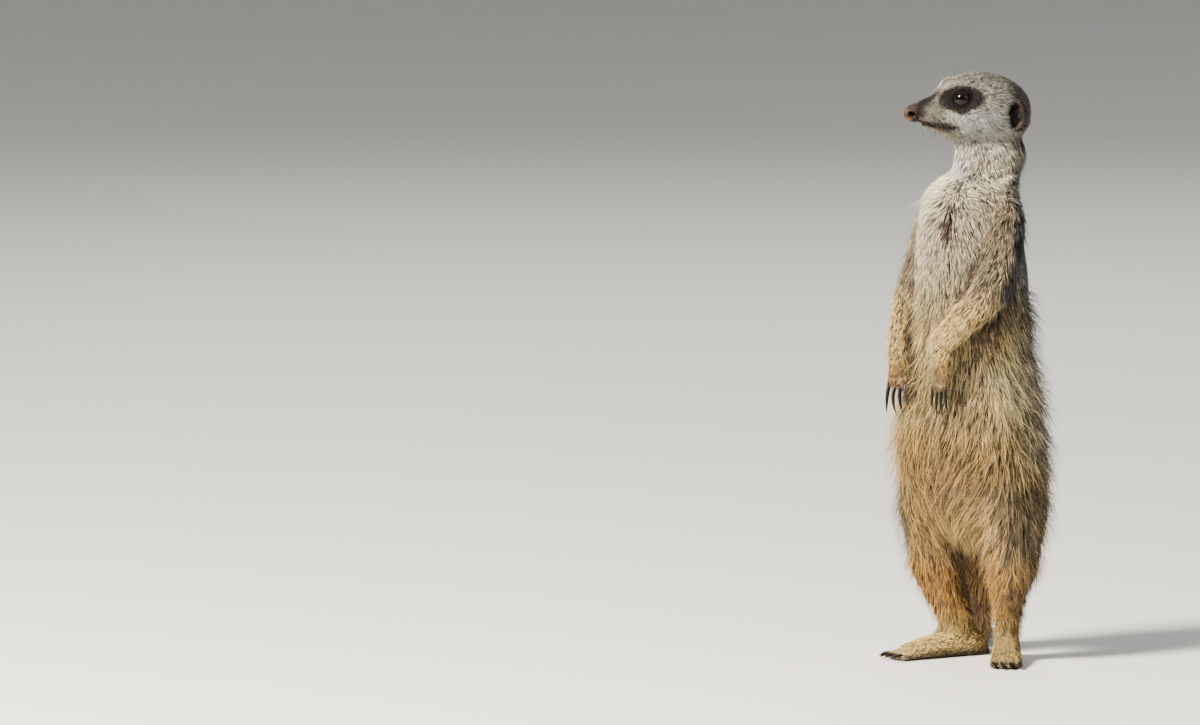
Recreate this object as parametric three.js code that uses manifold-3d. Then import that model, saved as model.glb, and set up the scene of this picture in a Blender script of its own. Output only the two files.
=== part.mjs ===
// Meerkat standing upright on its hind feet, propped by its tail, as a still life-size model.
// Millimetres, +Z up. The belly faces -Y, the animal's left is +X, and the head is turned to its right.
// The surfaces are those of the coat, out to the tips of the hair. Where two pieces meet they keep a thin gap.
import * as THREE from "three";
import { mergeVertices } from "three/addons/utils/BufferGeometryUtils.js";
import Module from "manifold-3d";

const wasm = await Module();
wasm.setup();

// ---------------------------------------------------------------- driving dimensions

const GAP = 0.3; // between neighbouring pieces
const FLOOR = 0;

const HEAD_AT = [0, 14, 298.7]; // middle of the braincase
const HEAD_TURN = -48; // degrees about Z, towards the animal's right
const NOSE_FROM = 40.6; // the bare nose pad starts this far in front of HEAD_AT
const MOUTH = { corner: 20, front: 37, cornerDrop: 10.6, frontDrop: 8.4 };
const EYE = { radius: 5.9, out: 12.2, forward: 15.5, up: 4.9, gaze: 20 };
const EAR = { out: 19.4, back: 12.8, down: 3.8, radii: [5.8, 6.8, 9.4], wall: 1.7 };

const CHEST_TO_BELLY = 204; // heights of the cuts across the trunk
const BELLY_TO_HIPS = 120;
const ELBOW_CUT = { left: 199.5, right: 200.5 };
const KNEE_CUT = 57;
const TAIL_CUTS = [0.36, 0.7]; // shares of the tail's length

const FOOT = {
  length: 62,
  left: { heel: [5.9, 26.4], splay: 32 },
  right: { heel: [-7.8, 28.3], splay: -25 },
};
const TOES = 4;
const TOE = { radius: 2.7, pitch: 4.3, from: 45, short: 2.2, arch: 1.12, pad: 1.9, claw: 6 };
const FINGERS = 4;
const FINGER = { radius: 2.0, pitch: 3.0, length: 7.5, pad: 0.9, claw: 14.5 };
const CLAW = { radius: 1.2, curve: 0.14 };

// Each row is one cross-section. Between rows every number follows a smooth curve.
// height, y of the middle, half-width, depth to the front, depth to the back
const TRUNK = [
  [269, 8, 13, 13, 13],
  [262, 6, 21, 20, 20],
  [254, 1, 25.5, 30, 24],
  [240, -2, 27, 33, 27],
  [226, -2, 29, 33, 29],
  [208, -2, 31, 32, 32],
  [190, -2, 32, 32, 33],
  [172, -2, 33.5, 33, 33.5],
  [141, -1, 38.5, 39, 36.5],
  [116, 0, 42, 43.5, 38],
  [98, 3, 40.5, 39, 39.5],
  [82, 5, 33, 30, 36],
  [70, 6, 21, 20, 27],
  [63, 7, 8, 8, 12],
];

// height, y, radius
const NECK = [
  [245, 8, 13],
  [256, 11, 19],
  [268, 14.2, 19.6],
  [280, 16.6, 20],
  [290, 15.5, 17],
  [295, 15, 11],
];

// distance in front of HEAD_AT, top, bottom, half-width, height of the widest place, squareness
const HEAD = [
  [45.2, -1.2, -5.6, 2.4, -3.2, 2.2],
  [44.4, 0.2, -7.0, 4.0, -3.2, 2.3],
  [41.5, 2.0, -8.2, 5.2, -3.2, 2.3],
  [37.2, 4.2, -8.8, 6.6, -3.5, 2.2],
  [35.8, 4.9, -11.4, 7.2, -4.0, 2.2],
  [32, 6.7, -13.8, 9.0, -5.0, 2.1],
  [28.4, 9.7, -15.0, 11.4, -5.4, 2.1],
  [25, 14.6, -16.2, 14.4, -4.6, 2.1],
  [20.7, 16.6, -18.4, 17.4, -4.2, 2.1],
  [15, 17.9, -20.2, 19.9, -4.4, 2.1],
  [10, 19.2, -21.4, 21.6, -5.0, 2.1],
  [4, 19.4, -22, 22.8, -5.4, 2.1],
  [-3, 18.4, -22, 22.9, -5.2, 2.1],
  [-9, 16.4, -20.6, 21.6, -4.2, 2.1],
  [-14, 13.6, -18.5, 19.2, -3.4, 2.1],
  [-18.5, 10.0, -15.5, 15.8, -2.8, 2.1],
  [-21.5, 5.8, -11.5, 11.2, -2.6, 2.1],
  [-23.2, 0.6, -6.4, 5.0, -2.8, 2.0],
];

// x, y, z, radius, from the shoulder to inside the palm. The left forearm is folded across the belly
// and the right one hangs beside it.
const ARM = {
  left: [
    [21.5, -2, 251, 8],
    [24.2, -6, 240, 12],
    [27, -14, 223, 12.4],
    [29, -22, 210, 11.6],
    [27.5, -30, 200, 10.6],
    [22.5, -38.5, 191, 9.4],
    [14.5, -42, 182, 8.6],
    [9.6, -43.8, 175, 8],
    [9.8, -45.2, 168, 7],
    [9.8, -45.6, 161, 5.8],
  ],
  right: [
    [-18.5, -2, 251, 8],
    [-19.8, -5, 240, 11.5],
    [-23.6, -7, 222, 12],
    [-28.4, -9.5, 207, 10.8],
    [-31.6, -12, 198.5, 9.6],
    [-31.8, -17.5, 189, 8.2],
    [-30.8, -24.6, 179, 7.0],
    [-28.8, -30.2, 169, 6.5],
    [-26.8, -32, 163, 6.3],
    [-25.8, -33, 157, 5.4],
  ],
};
// middle of the wrist, where the middle fingers end, and how far the hand lies round the belly in degrees
const HAND = {
  left: { wrist: [9.8, -45.4, 167], end: [8.8, -46.4, 150.5], turn: -20 },
  right: { wrist: [-26.4, -32.4, 163], end: [-24.8, -36.2, 149.5], turn: 0 },
};

// x and y of the middle, z, half-length along the foot's line, half-width across it, splay in degrees.
// Written for the left leg, and mirrored for the right one.
const LEG = [
  [19, 4, 113, 18, 11, 0],
  [20.5, 4, 103, 28.5, 18, 4],
  [21.8, 3.4, 89, 30, 19.8, 8],
  [23.4, 3.2, 74, 24, 18, 12],
  [24.6, 3, 60, 17.5, 15.2, 16],
  [24, 3.6, 47, 16, 12.1, 20],
  [20.8, 5.4, 35, 14.4, 9.1, 24],
  [17.4, 8.4, 25, 12, 7.6, 28],
  [16.6, 10, 17, 11.4, 6.8, 28],
  [16, 12, 9, 8, 5, 28],
];

// distance from the back of the heel, height of the top, half-width
const FOOT_ROWS = [
  [0, 6.5, 2.2],
  [1.6, 9.5, 4.2],
  [6, 14, 5.9],
  [14, 19.5, 7.0],
  [23, 18.5, 7.4],
  [31, 15.0, 7.8],
  [38, 12.6, 8.3],
  [45, 10.8, 8.9],
  [51, 8.6, 9.0],
  [55.5, 5.2, 7.2],
];

// x, y, z, radius, from inside the rump to the tip on the floor
const TAIL = [
  [0, 20, 99, 8],
  [-4.5, 28.5, 87, 13],
  [-11, 34.5, 70, 12.8],
  [-17.5, 38, 51, 11.6],
  [-21.5, 40.5, 33, 10.2],
  [-25.2, 45.5, 18, 9.2],
  [-31, 54.5, 9.6, 8.2],
  [-40, 67.5, 7.6, 7.8],
  [-50, 83, 7, 7.3],
  [-60, 98.5, 6.4, 6.8],
  [-68.5, 112, 5.2, 5.6],
  [-73, 119.5, 3.6, 2.6],
];

// ---------------------------------------------------------------- shape helpers

const outOf = (side) => (side === "left" ? 1 : -1);

const radians = THREE.MathUtils.degToRad;
const vec = (x, y, z) => new THREE.Vector3(x, y, z);

// Rows at `count` even steps along the table, each number on a Catmull-Rom curve.
function smoothRows(table, count) {
  const last = table.length - 1;
  const row = (i) => table[Math.min(Math.max(i, 0), last)];
  return Array.from({ length: count }, (_, k) => {
    const at = (k / (count - 1)) * last;
    const i = Math.min(Math.floor(at), last - 1);
    const t = at - i;
    const [a, b, c, d] = [row(i - 1), row(i), row(i + 1), row(i + 2)];
    return b.map((_, n) => {
      const bend = 2 * a[n] - 5 * b[n] + 4 * c[n] - d[n];
      const twist = 3 * b[n] - a[n] - 3 * c[n] + d[n];
      return b[n] + (t / 2) * (c[n] - a[n] + t * (bend + t * twist));
    });
  });
}

const signedPower = (v, p) => Math.sign(v) * Math.abs(v) ** p;

// A closed skin over rings. A ring has a centre, unit vectors to its side and front, its half-width,
// its depths to the front and back, and a squareness (2 is an ellipse).
function skinOver(rings, sides) {
  const points = [];
  for (const r of rings) {
    for (let k = 0; k < sides; k++) {
      const angle = (2 * Math.PI * k) / sides;
      const across = signedPower(Math.cos(angle), 2 / r.square) * r.wide;
      const along = signedPower(Math.sin(angle), 2 / r.square) * (Math.sin(angle) > 0 ? r.fore : r.aft);
      points.push(r.centre.clone().addScaledVector(r.side, across).addScaledVector(r.front, along));
    }
  }
  const first = points.length;
  points.push(rings[0].centre, rings.at(-1).centre);
  const faces = [];
  for (let i = 0; i + 1 < rings.length; i++) {
    for (let k = 0; k < sides; k++) {
      const [a, b] = [i * sides + k, i * sides + ((k + 1) % sides)];
      faces.push(a, b, a + sides, b, b + sides, a + sides);
    }
  }
  const end = (rings.length - 1) * sides;
  for (let k = 0; k < sides; k++) {
    const next = (k + 1) % sides;
    faces.push(first, next, k, first + 1, end + k, end + next);
  }
  return { points, faces };
}

function solidOf({ points, faces }) {
  const make = (triVerts) =>
    new wasm.Manifold(
      new wasm.Mesh({
        numProp: 3,
        vertProperties: new Float32Array(points.flatMap((p) => [p.x, p.y, p.z])),
        triVerts: new Uint32Array(triVerts),
      }),
    );
  const made = make(faces);
  return made.volume() > 0 ? made : make([...faces].reverse());
}

// A three.js geometry, moved by a matrix, as a solid.
function solidFrom(geometry, matrix = new THREE.Matrix4()) {
  const bare = geometry.clone().applyMatrix4(matrix);
  bare.deleteAttribute("normal");
  bare.deleteAttribute("uv");
  const merged = mergeVertices(bare, 1e-4);
  const at = merged.getAttribute("position");
  const points = Array.from({ length: at.count }, (_, i) => new THREE.Vector3().fromBufferAttribute(at, i));
  return solidOf({ points, faces: [...merged.index.array] });
}

const box = (low, high) =>
  solidFrom(
    new THREE.BoxGeometry(high[0] - low[0], high[1] - low[1], high[2] - low[2]),
    new THREE.Matrix4().makeTranslation(...low.map((v, i) => (v + high[i]) / 2)),
  );

function ellipsoid(centre, radii, detail = 14) {
  const matrix = new THREE.Matrix4().makeScale(...radii).setPosition(...centre);
  return solidFrom(new THREE.SphereGeometry(1, detail, Math.round(detail * 0.7)), matrix);
}

// A solid of level rings: rows of height, x, y, half-width, front, back, turn about Z in degrees.
function column(rows, sides, grow = 0) {
  const rings = rows.map(([z, x, y, wide, fore, aft, turn]) => {
    const angle = radians(turn);
    return {
      centre: vec(x, y, z),
      side: vec(Math.cos(angle), Math.sin(angle), 0),
      front: vec(Math.sin(angle), -Math.cos(angle), 0),
      wide: wide + grow,
      fore: fore + grow,
      aft: aft + grow,
      square: 2,
    };
  });
  return solidOf(skinOver(rings, sides));
}

// A round solid along a path: rows of x, y, z, radius. `flat` narrows it along `across`.
function limb(rows, sides, { grow = 0, across = vec(1, 0, 0), flat = 1 } = {}) {
  const centres = rows.map(([x, y, z]) => vec(x, y, z));
  const rings = rows.map(([, , , radius], i) => {
    const ahead = centres[Math.min(i + 1, rows.length - 1)];
    const along = ahead.clone().sub(centres[Math.max(i - 1, 0)]).normalize();
    const front = along.clone().cross(across).normalize();
    const side = front.clone().cross(along).normalize();
    return {
      centre: centres[i],
      side,
      front,
      wide: radius + grow,
      fore: radius * flat + grow,
      aft: radius * flat + grow,
      square: 2,
    };
  });
  return solidOf(skinOver(rings, sides));
}

const largest = (solid) => solid.decompose().reduce((a, b) => (b.volume() > a.volume() ? b : a));
const without = (solid, ...cutters) => largest(cutters.reduce((s, c) => s.subtract(c), solid));
const joined = (solids) => solids.reduce((a, b) => a.add(b));

const WORLD = 400; // half-size of a box that holds the whole animal
const above = (z) => box([-WORLD, -WORLD, z], [WORLD, WORLD, WORLD]);
const below = (z) => box([-WORLD, -WORLD, -WORLD], [WORLD, WORLD, z]);
const onFloor = (solid) => solid.subtract(below(FLOOR));

// ---------------------------------------------------------------- trunk and neck

function trunk(grow = 0) {
  const rows = smoothRows(TRUNK, 16).map(([z, y, wide, fore, aft]) => [z, 0, y, wide, fore, aft, 0]);
  return column(rows, 18, grow);
}

function neck(grow = 0) {
  const rows = smoothRows(NECK, 6).map(([z, y, r]) => [z, 0, y, r, r, r, 0]);
  return column(rows, 16, grow);
}

// ---------------------------------------------------------------- head, in its own frame with the nose along -Y

const headFrame = new THREE.Matrix4().makeRotationZ(radians(HEAD_TURN)).setPosition(...HEAD_AT);
const mirrored = (side, [x, y, z]) => [outOf(side) * x, y, z];

function headShape(grow = 0) {
  const rings = smoothRows(HEAD, 21).map(([ahead, top, bottom, wide, middle, square]) => ({
    centre: vec(0, -ahead, middle),
    side: vec(1, 0, 0),
    front: vec(0, 0, 1),
    wide: wide + grow,
    fore: top - middle + grow,
    aft: middle - bottom + grow,
    square,
  }));
  return solidOf(skinOver(rings, 18));
}

const eyeAt = (side) => mirrored(side, [EYE.out, -EYE.forward, EYE.up]);

// The opening between the lids: a shallow bowl in front of the eyeball, along the gaze.
function eyeOpening(side) {
  const gaze = mirrored(side, [Math.cos(radians(EYE.gaze)), -Math.sin(radians(EYE.gaze)), 0.04]);
  const centre = eyeAt(side).map((v, i) => v + gaze[i] * (EYE.radius + 1.2));
  return ellipsoid(centre, [4.6, 6.2, 4.2], 10);
}

const eyeball = (side, grow = 0) => ellipsoid(eyeAt(side), Array(3).fill(EYE.radius + grow), 12);

// Everything under the mouth line, as a wedge that sinks towards the corner of the mouth.
function jawWedge(grow = 0) {
  const slope = Math.atan2(MOUTH.cornerDrop - MOUTH.frontDrop, MOUTH.front - MOUTH.corner);
  const wedge = box([-30, -60, -40], [30, -MOUTH.corner + grow, -MOUTH.cornerDrop + grow]);
  const matrix = new THREE.Matrix4()
    .makeTranslation(0, -MOUTH.corner, -MOUTH.cornerDrop)
    .multiply(new THREE.Matrix4().makeRotationX(-slope))
    .multiply(new THREE.Matrix4().makeTranslation(0, MOUTH.corner, MOUTH.cornerDrop));
  return wedge.transform(matrix.elements);
}

function noseShape() {
  const front = box([-20, -60, -20], [20, -NOSE_FROM - GAP, 20]);
  const nostrils = ["left", "right"].map((side) =>
    ellipsoid(mirrored(side, [3.2, -43.6, -3.4]), [1.5, 2.2, 1.1], 6),
  );
  return without(headShape().intersect(front), ...nostrils);
}

// A half-bowl that stands off the side of the head and opens forwards and outwards.
function earBowl(side, grow = 0) {
  const at = mirrored(side, [EAR.out, EAR.back, -EAR.down]);
  return ellipsoid(at, EAR.radii.map((r) => r + grow), 12);
}

function earShape(side) {
  const [w, l, h] = EAR.radii;
  const hollowAt = mirrored(side, [EAR.out + 2.2, EAR.back - 3, -EAR.down]);
  const hollow = ellipsoid(hollowAt, [w - EAR.wall + 1.4, l - EAR.wall + 1.2, h - EAR.wall], 12);
  return without(earBowl(side), hollow, headShape(GAP));
}

function headPieces() {
  const nosePlane = box([-20, -60, -20], [20, -NOSE_FROM, 20]);
  const whole = without(headShape(), nosePlane);
  const pieces = {
    head: without(
      whole,
      jawWedge(GAP),
      ...["left", "right"].flatMap((side) => [eyeball(side, GAP), eyeOpening(side)]),
    ),
    lower_jaw: largest(whole.intersect(jawWedge())),
    nose: noseShape(),
  };
  for (const side of ["left", "right"]) {
    pieces[`eye_${side}`] = eyeball(side);
    pieces[`ear_${side}`] = earShape(side);
  }
  return pieces;
}

// ---------------------------------------------------------------- arms and hands

const armShape = (side, grow = 0) => limb(smoothRows(ARM[side], 13), 10, { grow });

// A curved claw from `from` along `along`, bending towards `hook`.
function claw(from, along, hook, length, radius) {
  const rows = [0, 0.5, 1].map((t) => {
    const at = from.clone().addScaledVector(along, length * t);
    at.addScaledVector(hook, length * CLAW.curve * t * t);
    return [at.x, at.y, at.z, Math.max(radius * (1 - t * 0.82), 0.3)];
  });
  return limb(rows, 5);
}

// Unit vectors of one hand: down to the fingers, across to the outer one, and towards the belly.
function handAxes(side) {
  const down = vec(...HAND[side].end).sub(vec(...HAND[side].wrist)).normalize();
  const turn = radians(HAND[side].turn);
  const outward = vec(outOf(side) * Math.cos(turn), Math.sin(turn), 0);
  const across = outward.addScaledVector(down, -outward.dot(down)).normalize();
  return { down, across, inward: down.clone().cross(across).multiplyScalar(-outOf(side)) };
}

// The fingers of one hand as lines from the knuckles: they fan out a little and hang down.
function fingerLines(side) {
  const end = vec(...HAND[side].end);
  const { down, across } = handAxes(side);
  return Array.from({ length: FINGERS }, (_, i) => {
    const place = i - (FINGERS - 1) / 2;
    const length = FINGER.length - Math.abs(place) * 1.1;
    const along = down.clone().addScaledVector(across, place * 0.08).normalize();
    const tip = end.clone().addScaledVector(across, place * (FINGER.pitch + 0.5));
    tip.addScaledVector(down, -Math.abs(place) * 1.2);
    return { along, tip, knuckle: tip.clone().addScaledVector(along, -length) };
  });
}

function palmShape(side, grow = 0) {
  const wrist = vec(...HAND[side].wrist);
  const lines = fingerLines(side);
  const knuckles = lines[1].knuckle.clone().add(lines[2].knuckle).multiplyScalar(0.5);
  const palmRows = [
    [-0.25, 3.2],
    [-0.05, 6.1],
    [0.35, 6.6],
    [0.8, 6.9],
    [1.1, 6.2],
    [1.3, 3],
  ].map(([t, radius]) => {
    const at = wrist.clone().lerp(knuckles, t);
    return [at.x, at.y, at.z, radius];
  });
  return limb(smoothRows(palmRows, 6), 8, { grow, flat: 0.66, across: handAxes(side).across });
}

function handShape(side, grow = 0) {
  const fingers = fingerLines(side).map(({ knuckle, tip, along }) => {
    const past = tip.clone().addScaledVector(along, FINGER.pad);
    const rows = [
      [...knuckle.clone().addScaledVector(along, -2).toArray(), FINGER.radius * 0.9],
      [...knuckle.toArray(), FINGER.radius],
      [...tip.toArray(), FINGER.radius * 0.92],
      [...past.toArray(), FINGER.radius * 0.5],
    ];
    return limb(rows, 6, { grow });
  });
  return joined([palmShape(side, grow), ...fingers]);
}

const handClaws = (side) =>
  fingerLines(side).map(({ tip, along }) => {
    const root = tip.clone().addScaledVector(along, FINGER.pad + GAP);
    return claw(root, along, handAxes(side).inward, FINGER.claw, CLAW.radius);
  });

function armPieces(side) {
  const cut = ELBOW_CUT[side];
  const arm = armShape(side);
  const hand = handShape(side);
  return {
    [`upper_arm_${side}`]: largest(arm.intersect(above(cut + GAP))),
    [`forearm_${side}`]: without(arm.intersect(below(cut)), palmShape(side, GAP)),
    [`hand_${side}`]: largest(hand),
    ...Object.fromEntries(handClaws(side).map((c, i) => [`claw_hand_${side}_${i + 1}`, c])),
  };
}

// ---------------------------------------------------------------- legs and feet

function legShape(side, grow = 0) {
  const s = outOf(side);
  const rows = smoothRows(LEG, 12).map(([x, y, z, long, short, splay]) => [
    z, s * x, y, short, long, long, s * splay,
  ]);
  return column(rows, 14, grow);
}

// The foot's own frame: +Z up, the foot's line along -Y from the back of the heel.
function footFrame(side) {
  const { heel, splay } = FOOT[side];
  return new THREE.Matrix4().makeRotationZ(radians(splay)).setPosition(...heel, FLOOR);
}

const toePlaces = Array.from({ length: TOES }, (_, i) => i - (TOES - 1) / 2);
const toeEnd = (place) => FOOT.length - TOE.short - TOE.arch * place * place;

function footShape(side, grow = 0) {
  const rings = smoothRows(FOOT_ROWS, 8).map(([ahead, top, wide]) => {
    const middle = top * 0.4;
    return {
      centre: vec(0, -ahead, middle),
      side: vec(1, 0, 0),
      front: vec(0, 0, 1),
      wide: wide + grow,
      fore: top - middle + grow,
      aft: middle + 0.6 + grow,
      square: 2.3,
    };
  });
  const sole = solidOf(skinOver(rings, 12));
  const toes = toePlaces.map((place) => {
    const [r, x] = [TOE.radius, place * TOE.pitch];
    const end = -toeEnd(place);
    const rows = [
      [x * 0.85, -TOE.from, 4.2, r],
      [x * 0.97, end + 6, 3.2, r * 1.02],
      [x * 1.05, end, 2.6, r * 0.98],
      [x * 1.06, end - TOE.pad, 2.6, r * 0.6],
    ];
    return limb(rows, 6, { grow });
  });
  return onFloor(joined([sole, ...toes]).transform(footFrame(side).elements));
}

const footClaws = (side) =>
  toePlaces.map((place) => {
    const from = vec(place * TOE.pitch * 1.06, -toeEnd(place) - TOE.pad - GAP, 3.2);
    const made = claw(from, vec(0, -1, 0), vec(0, 0, -1), TOE.claw, CLAW.radius);
    return made.transform(footFrame(side).elements);
  });

function legPieces(side) {
  const leg = without(legShape(side), tailShape(GAP));
  return {
    [`thigh_${side}`]: largest(leg.intersect(above(KNEE_CUT + GAP))),
    [`shank_${side}`]: without(leg.intersect(below(KNEE_CUT)), footShape(side, GAP)),
    [`foot_${side}`]: largest(footShape(side)),
    ...Object.fromEntries(footClaws(side).map((c, i) => [`claw_foot_${side}_${i + 1}`, c])),
  };
}

// ---------------------------------------------------------------- tail

const TAIL_STEPS = 16;

function tailShape(grow = 0) {
  return onFloor(limb(smoothRows(TAIL, TAIL_STEPS), 10, { grow }));
}

// A thin slab across the tail at a share of its length.
function tailSlab(share) {
  const rows = smoothRows(TAIL, 101).map(([x, y, z]) => vec(x, y, z));
  const k = Math.round(share * 100);
  const along = rows[k + 1].clone().sub(rows[k - 1]).normalize();
  const turn = new THREE.Quaternion().setFromUnitVectors(vec(0, 0, 1), along);
  const matrix = new THREE.Matrix4().compose(rows[k], turn, vec(1, 1, 1));
  return solidFrom(new THREE.BoxGeometry(40, 40, GAP), matrix);
}

function tailPieces() {
  const parts = tailShape().subtract(joined(TAIL_CUTS.map(tailSlab))).decompose();
  const height = (solid) => {
    const bounds = solid.boundingBox();
    return (bounds.min[1] + bounds.max[1]) / 2;
  };
  const [base, middle, tip] = parts.sort((a, b) => height(a) - height(b));
  return { tail_base: base, tail_middle: middle, tail_tip: tip };
}

// ---------------------------------------------------------------- the whole animal

function allPieces() {
  const head = headPieces();
  const headGrown = headShape(GAP).transform(headFrame.elements);
  const sides = ["left", "right"];
  const limbs = Object.assign({}, ...sides.flatMap((side) => [armPieces(side), legPieces(side)]));
  const cutters = [
    ...sides.flatMap((side) => [armShape(side, GAP), handShape(side, GAP), legShape(side, GAP)]),
    tailShape(GAP),
    neck(GAP),
  ];
  const body = without(trunk(), ...cutters);
  const ears = sides.map((side) => earBowl(side, GAP).transform(headFrame.elements));
  const neckPiece = without(neck(), headGrown, ...ears, ...sides.map((side) => armShape(side, GAP)));
  return {
    head,
    body: {
      neck: neckPiece,
      chest: largest(body.intersect(above(CHEST_TO_BELLY + GAP))),
      belly: largest(body.intersect(below(CHEST_TO_BELLY)).intersect(above(BELLY_TO_HIPS + GAP))),
      hips: largest(body.intersect(below(BELLY_TO_HIPS))),
      ...tailPieces(),
    },
    limbs,
  };
}

const coat = (color, roughness = 0.9) => new THREE.MeshStandardMaterial({ color, roughness, metalness: 0 });
const MATERIALS = {
  face: coat(0xa49c8c),
  dark: coat(0x3a322c),
  back: coat(0x9c8c6c),
  belly: coat(0xb8a27a),
  limb: coat(0xc0a068),
  tail: coat(0x96643a),
  nose: coat(0x7a5a46, 0.55),
  eye: coat(0x1c120c, 0.1),
  claw: coat(0x3c322a, 0.45),
};
const MATERIAL_OF = [
  [/^eye/, "eye"],
  [/^claw/, "claw"],
  [/^nose/, "nose"],
  [/^ear/, "dark"],
  [/^(head|lower_jaw)/, "face"],
  [/^tail/, "tail"],
  [/^(chest|neck|hips)/, "back"],
  [/^belly/, "belly"],
  [/./, "limb"],
];

function meshOf(name, solid) {
  const { vertProperties, triVerts, numProp } = solid.getMesh();
  const position = new Float32Array((vertProperties.length / numProp) * 3);
  for (let i = 0; i < position.length / 3; i++) {
    position.set(vertProperties.subarray(i * numProp, i * numProp + 3), i * 3);
  }
  const geometry = new THREE.BufferGeometry()
    .setAttribute("position", new THREE.BufferAttribute(position, 3))
    .setIndex(new THREE.BufferAttribute(triVerts, 1));
  geometry.computeVertexNormals();
  const material = MATERIALS[MATERIAL_OF.find(([test]) => test.test(name))[1]];
  const mesh = new THREE.Mesh(geometry, material.clone());
  mesh.name = name;
  return mesh;
}

const pieces = allPieces();
const meerkat = new THREE.Group();
const headGroup = new THREE.Group();
headGroup.position.set(...HEAD_AT);
headGroup.rotation.z = radians(HEAD_TURN);
for (const [name, solid] of Object.entries(pieces.head)) headGroup.add(meshOf(name, solid));
meerkat.add(headGroup);
for (const [name, solid] of Object.entries({ ...pieces.body, ...pieces.limbs })) {
  meerkat.add(meshOf(name, solid));
}

// The origin is on the floor, under the middle of the animal's box.
const bounds = new THREE.Box3().setFromObject(meerkat);
const middle = bounds.getCenter(vec(0, 0, 0));
meerkat.position.set(-middle.x, -middle.y, -bounds.min.z);

export default meerkat;
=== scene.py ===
"""A life-size standing meerkat: one skin, its coat, eyes, nose, claws and whiskers over the CAD model.

Tables are in millimetres and degrees, Blender and the arrays of points in metres. The body's frame has its
origin on the floor under the trunk, with x to the animal's left and y to its back. The head's has its origin
in the braincase, and is (left, ahead, up).
"""

import math

import bmesh
import bpy
import numpy as np
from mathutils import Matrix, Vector, kdtree, noise
from mathutils.bvhtree import BVHTree


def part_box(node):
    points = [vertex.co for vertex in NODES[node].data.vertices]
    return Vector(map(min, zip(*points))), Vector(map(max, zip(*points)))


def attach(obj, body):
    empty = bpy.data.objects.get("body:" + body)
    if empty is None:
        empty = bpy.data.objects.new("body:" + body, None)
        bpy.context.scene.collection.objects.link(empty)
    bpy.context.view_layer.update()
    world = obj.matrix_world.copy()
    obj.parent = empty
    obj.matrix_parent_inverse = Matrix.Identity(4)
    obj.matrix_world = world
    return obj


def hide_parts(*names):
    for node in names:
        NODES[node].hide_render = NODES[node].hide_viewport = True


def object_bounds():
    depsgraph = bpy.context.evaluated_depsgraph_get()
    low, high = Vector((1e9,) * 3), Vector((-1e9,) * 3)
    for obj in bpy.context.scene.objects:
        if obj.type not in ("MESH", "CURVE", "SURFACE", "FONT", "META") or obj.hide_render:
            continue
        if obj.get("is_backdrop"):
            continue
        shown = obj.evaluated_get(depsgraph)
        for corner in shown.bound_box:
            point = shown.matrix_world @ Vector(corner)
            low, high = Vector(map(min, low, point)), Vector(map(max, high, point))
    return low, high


MM = 0.001
SEED = 20
UP = np.array([0.0, 0.0, 1.0])
SIDES = ("left", "right")
LIMB_ENDS = [(limb, side) for side in SIDES for limb in ("foot", "hand")]

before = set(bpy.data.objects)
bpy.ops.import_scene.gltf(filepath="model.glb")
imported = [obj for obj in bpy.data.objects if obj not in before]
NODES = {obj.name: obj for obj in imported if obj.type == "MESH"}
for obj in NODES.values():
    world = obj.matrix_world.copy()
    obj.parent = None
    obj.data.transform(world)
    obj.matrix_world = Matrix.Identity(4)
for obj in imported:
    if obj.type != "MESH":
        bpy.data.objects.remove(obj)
cad_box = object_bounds()
rng = np.random.default_rng(SEED)

# For each region: how far its shape is smoothed, how deep its skin lies under the tips of the coat,
# the length and width of its hair, its tufts per square millimetre, and its sRGB colour
REGIONS = {
    "head": (1.6, 1.0, 3.0, 0.30, 6.0, (214, 207, 192)),
    "lower_jaw": (1.2, 0.8, 2.6, 0.28, 6.0, (198, 192, 174)),
    "ear": (1.0, 0.5, 2.2, 0.28, 9.0, (58, 48, 41)),
    "neck": (3.0, 2.6, 6.5, 0.36, 3.6, (252, 243, 220)),
    "chest": (4.5, 3.0, 8.0, 0.46, 2.5, (232, 219, 190)),
    "belly": (4.5, 3.8, 11.5, 0.52, 1.7, (224, 198, 134)),
    "hips": (4.5, 4.0, 12.5, 0.52, 1.55, (214, 184, 120)),
    "tail_base": (2.5, 3.2, 12.0, 0.54, 1.6, (196, 154, 98)),
    "tail_middle": (2.5, 3.2, 9.5, 0.52, 1.7, (178, 140, 92)),
    "tail_tip": (2.0, 2.8, 8.0, 0.46, 1.9, (66, 46, 34)),
    "upper_arm": (2.5, 2.4, 7.5, 0.46, 2.3, (138, 122, 95)),
    "forearm": (1.8, 1.6, 5.0, 0.40, 3.1, (232, 198, 126)),
    "hand": (0.5, 0.9, 3.4, 0.34, 7.0, (240, 192, 116)),
    "thigh": (4.0, 3.6, 11.0, 0.48, 1.9, (222, 180, 108)),
    "shank": (2.5, 2.0, 6.5, 0.40, 3.1, (220, 164, 80)),
    "foot": (0.6, 0.8, 3.8, 0.38, 4.2, (222, 190, 118)),
}
REGION_NAMES = list(REGIONS)
COLUMNS = (np.array(column, float) for column in zip(*REGIONS.values()))
SMOOTHING, DEPTH, LENGTH, WIDTH, DENSITY, COLOUR = COLUMNS


# ---- arrays and meshes


def size_of(v):
    return np.linalg.norm(v, axis=-1)


def unit(v):
    return v / np.maximum(size_of(v)[..., None], 1e-12)


def rise(x, low, high):
    """0 below low, 1 above high, and smooth between."""
    t = np.clip((x - low) / (high - low), 0, 1)
    return t * t * (3 - 2 * t)


def fall(x, low, high):
    """1 below low, 0 above high, and smooth between."""
    return 1 - rise(x, low, high)


def bump(x, middle, half_width):
    """1 at the middle, falling smoothly to 0 at half_width from it."""
    return fall(np.abs(x - middle), 0, half_width)


def mix(a, b, weight):
    return a + (b - a) * weight[:, None]


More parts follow.
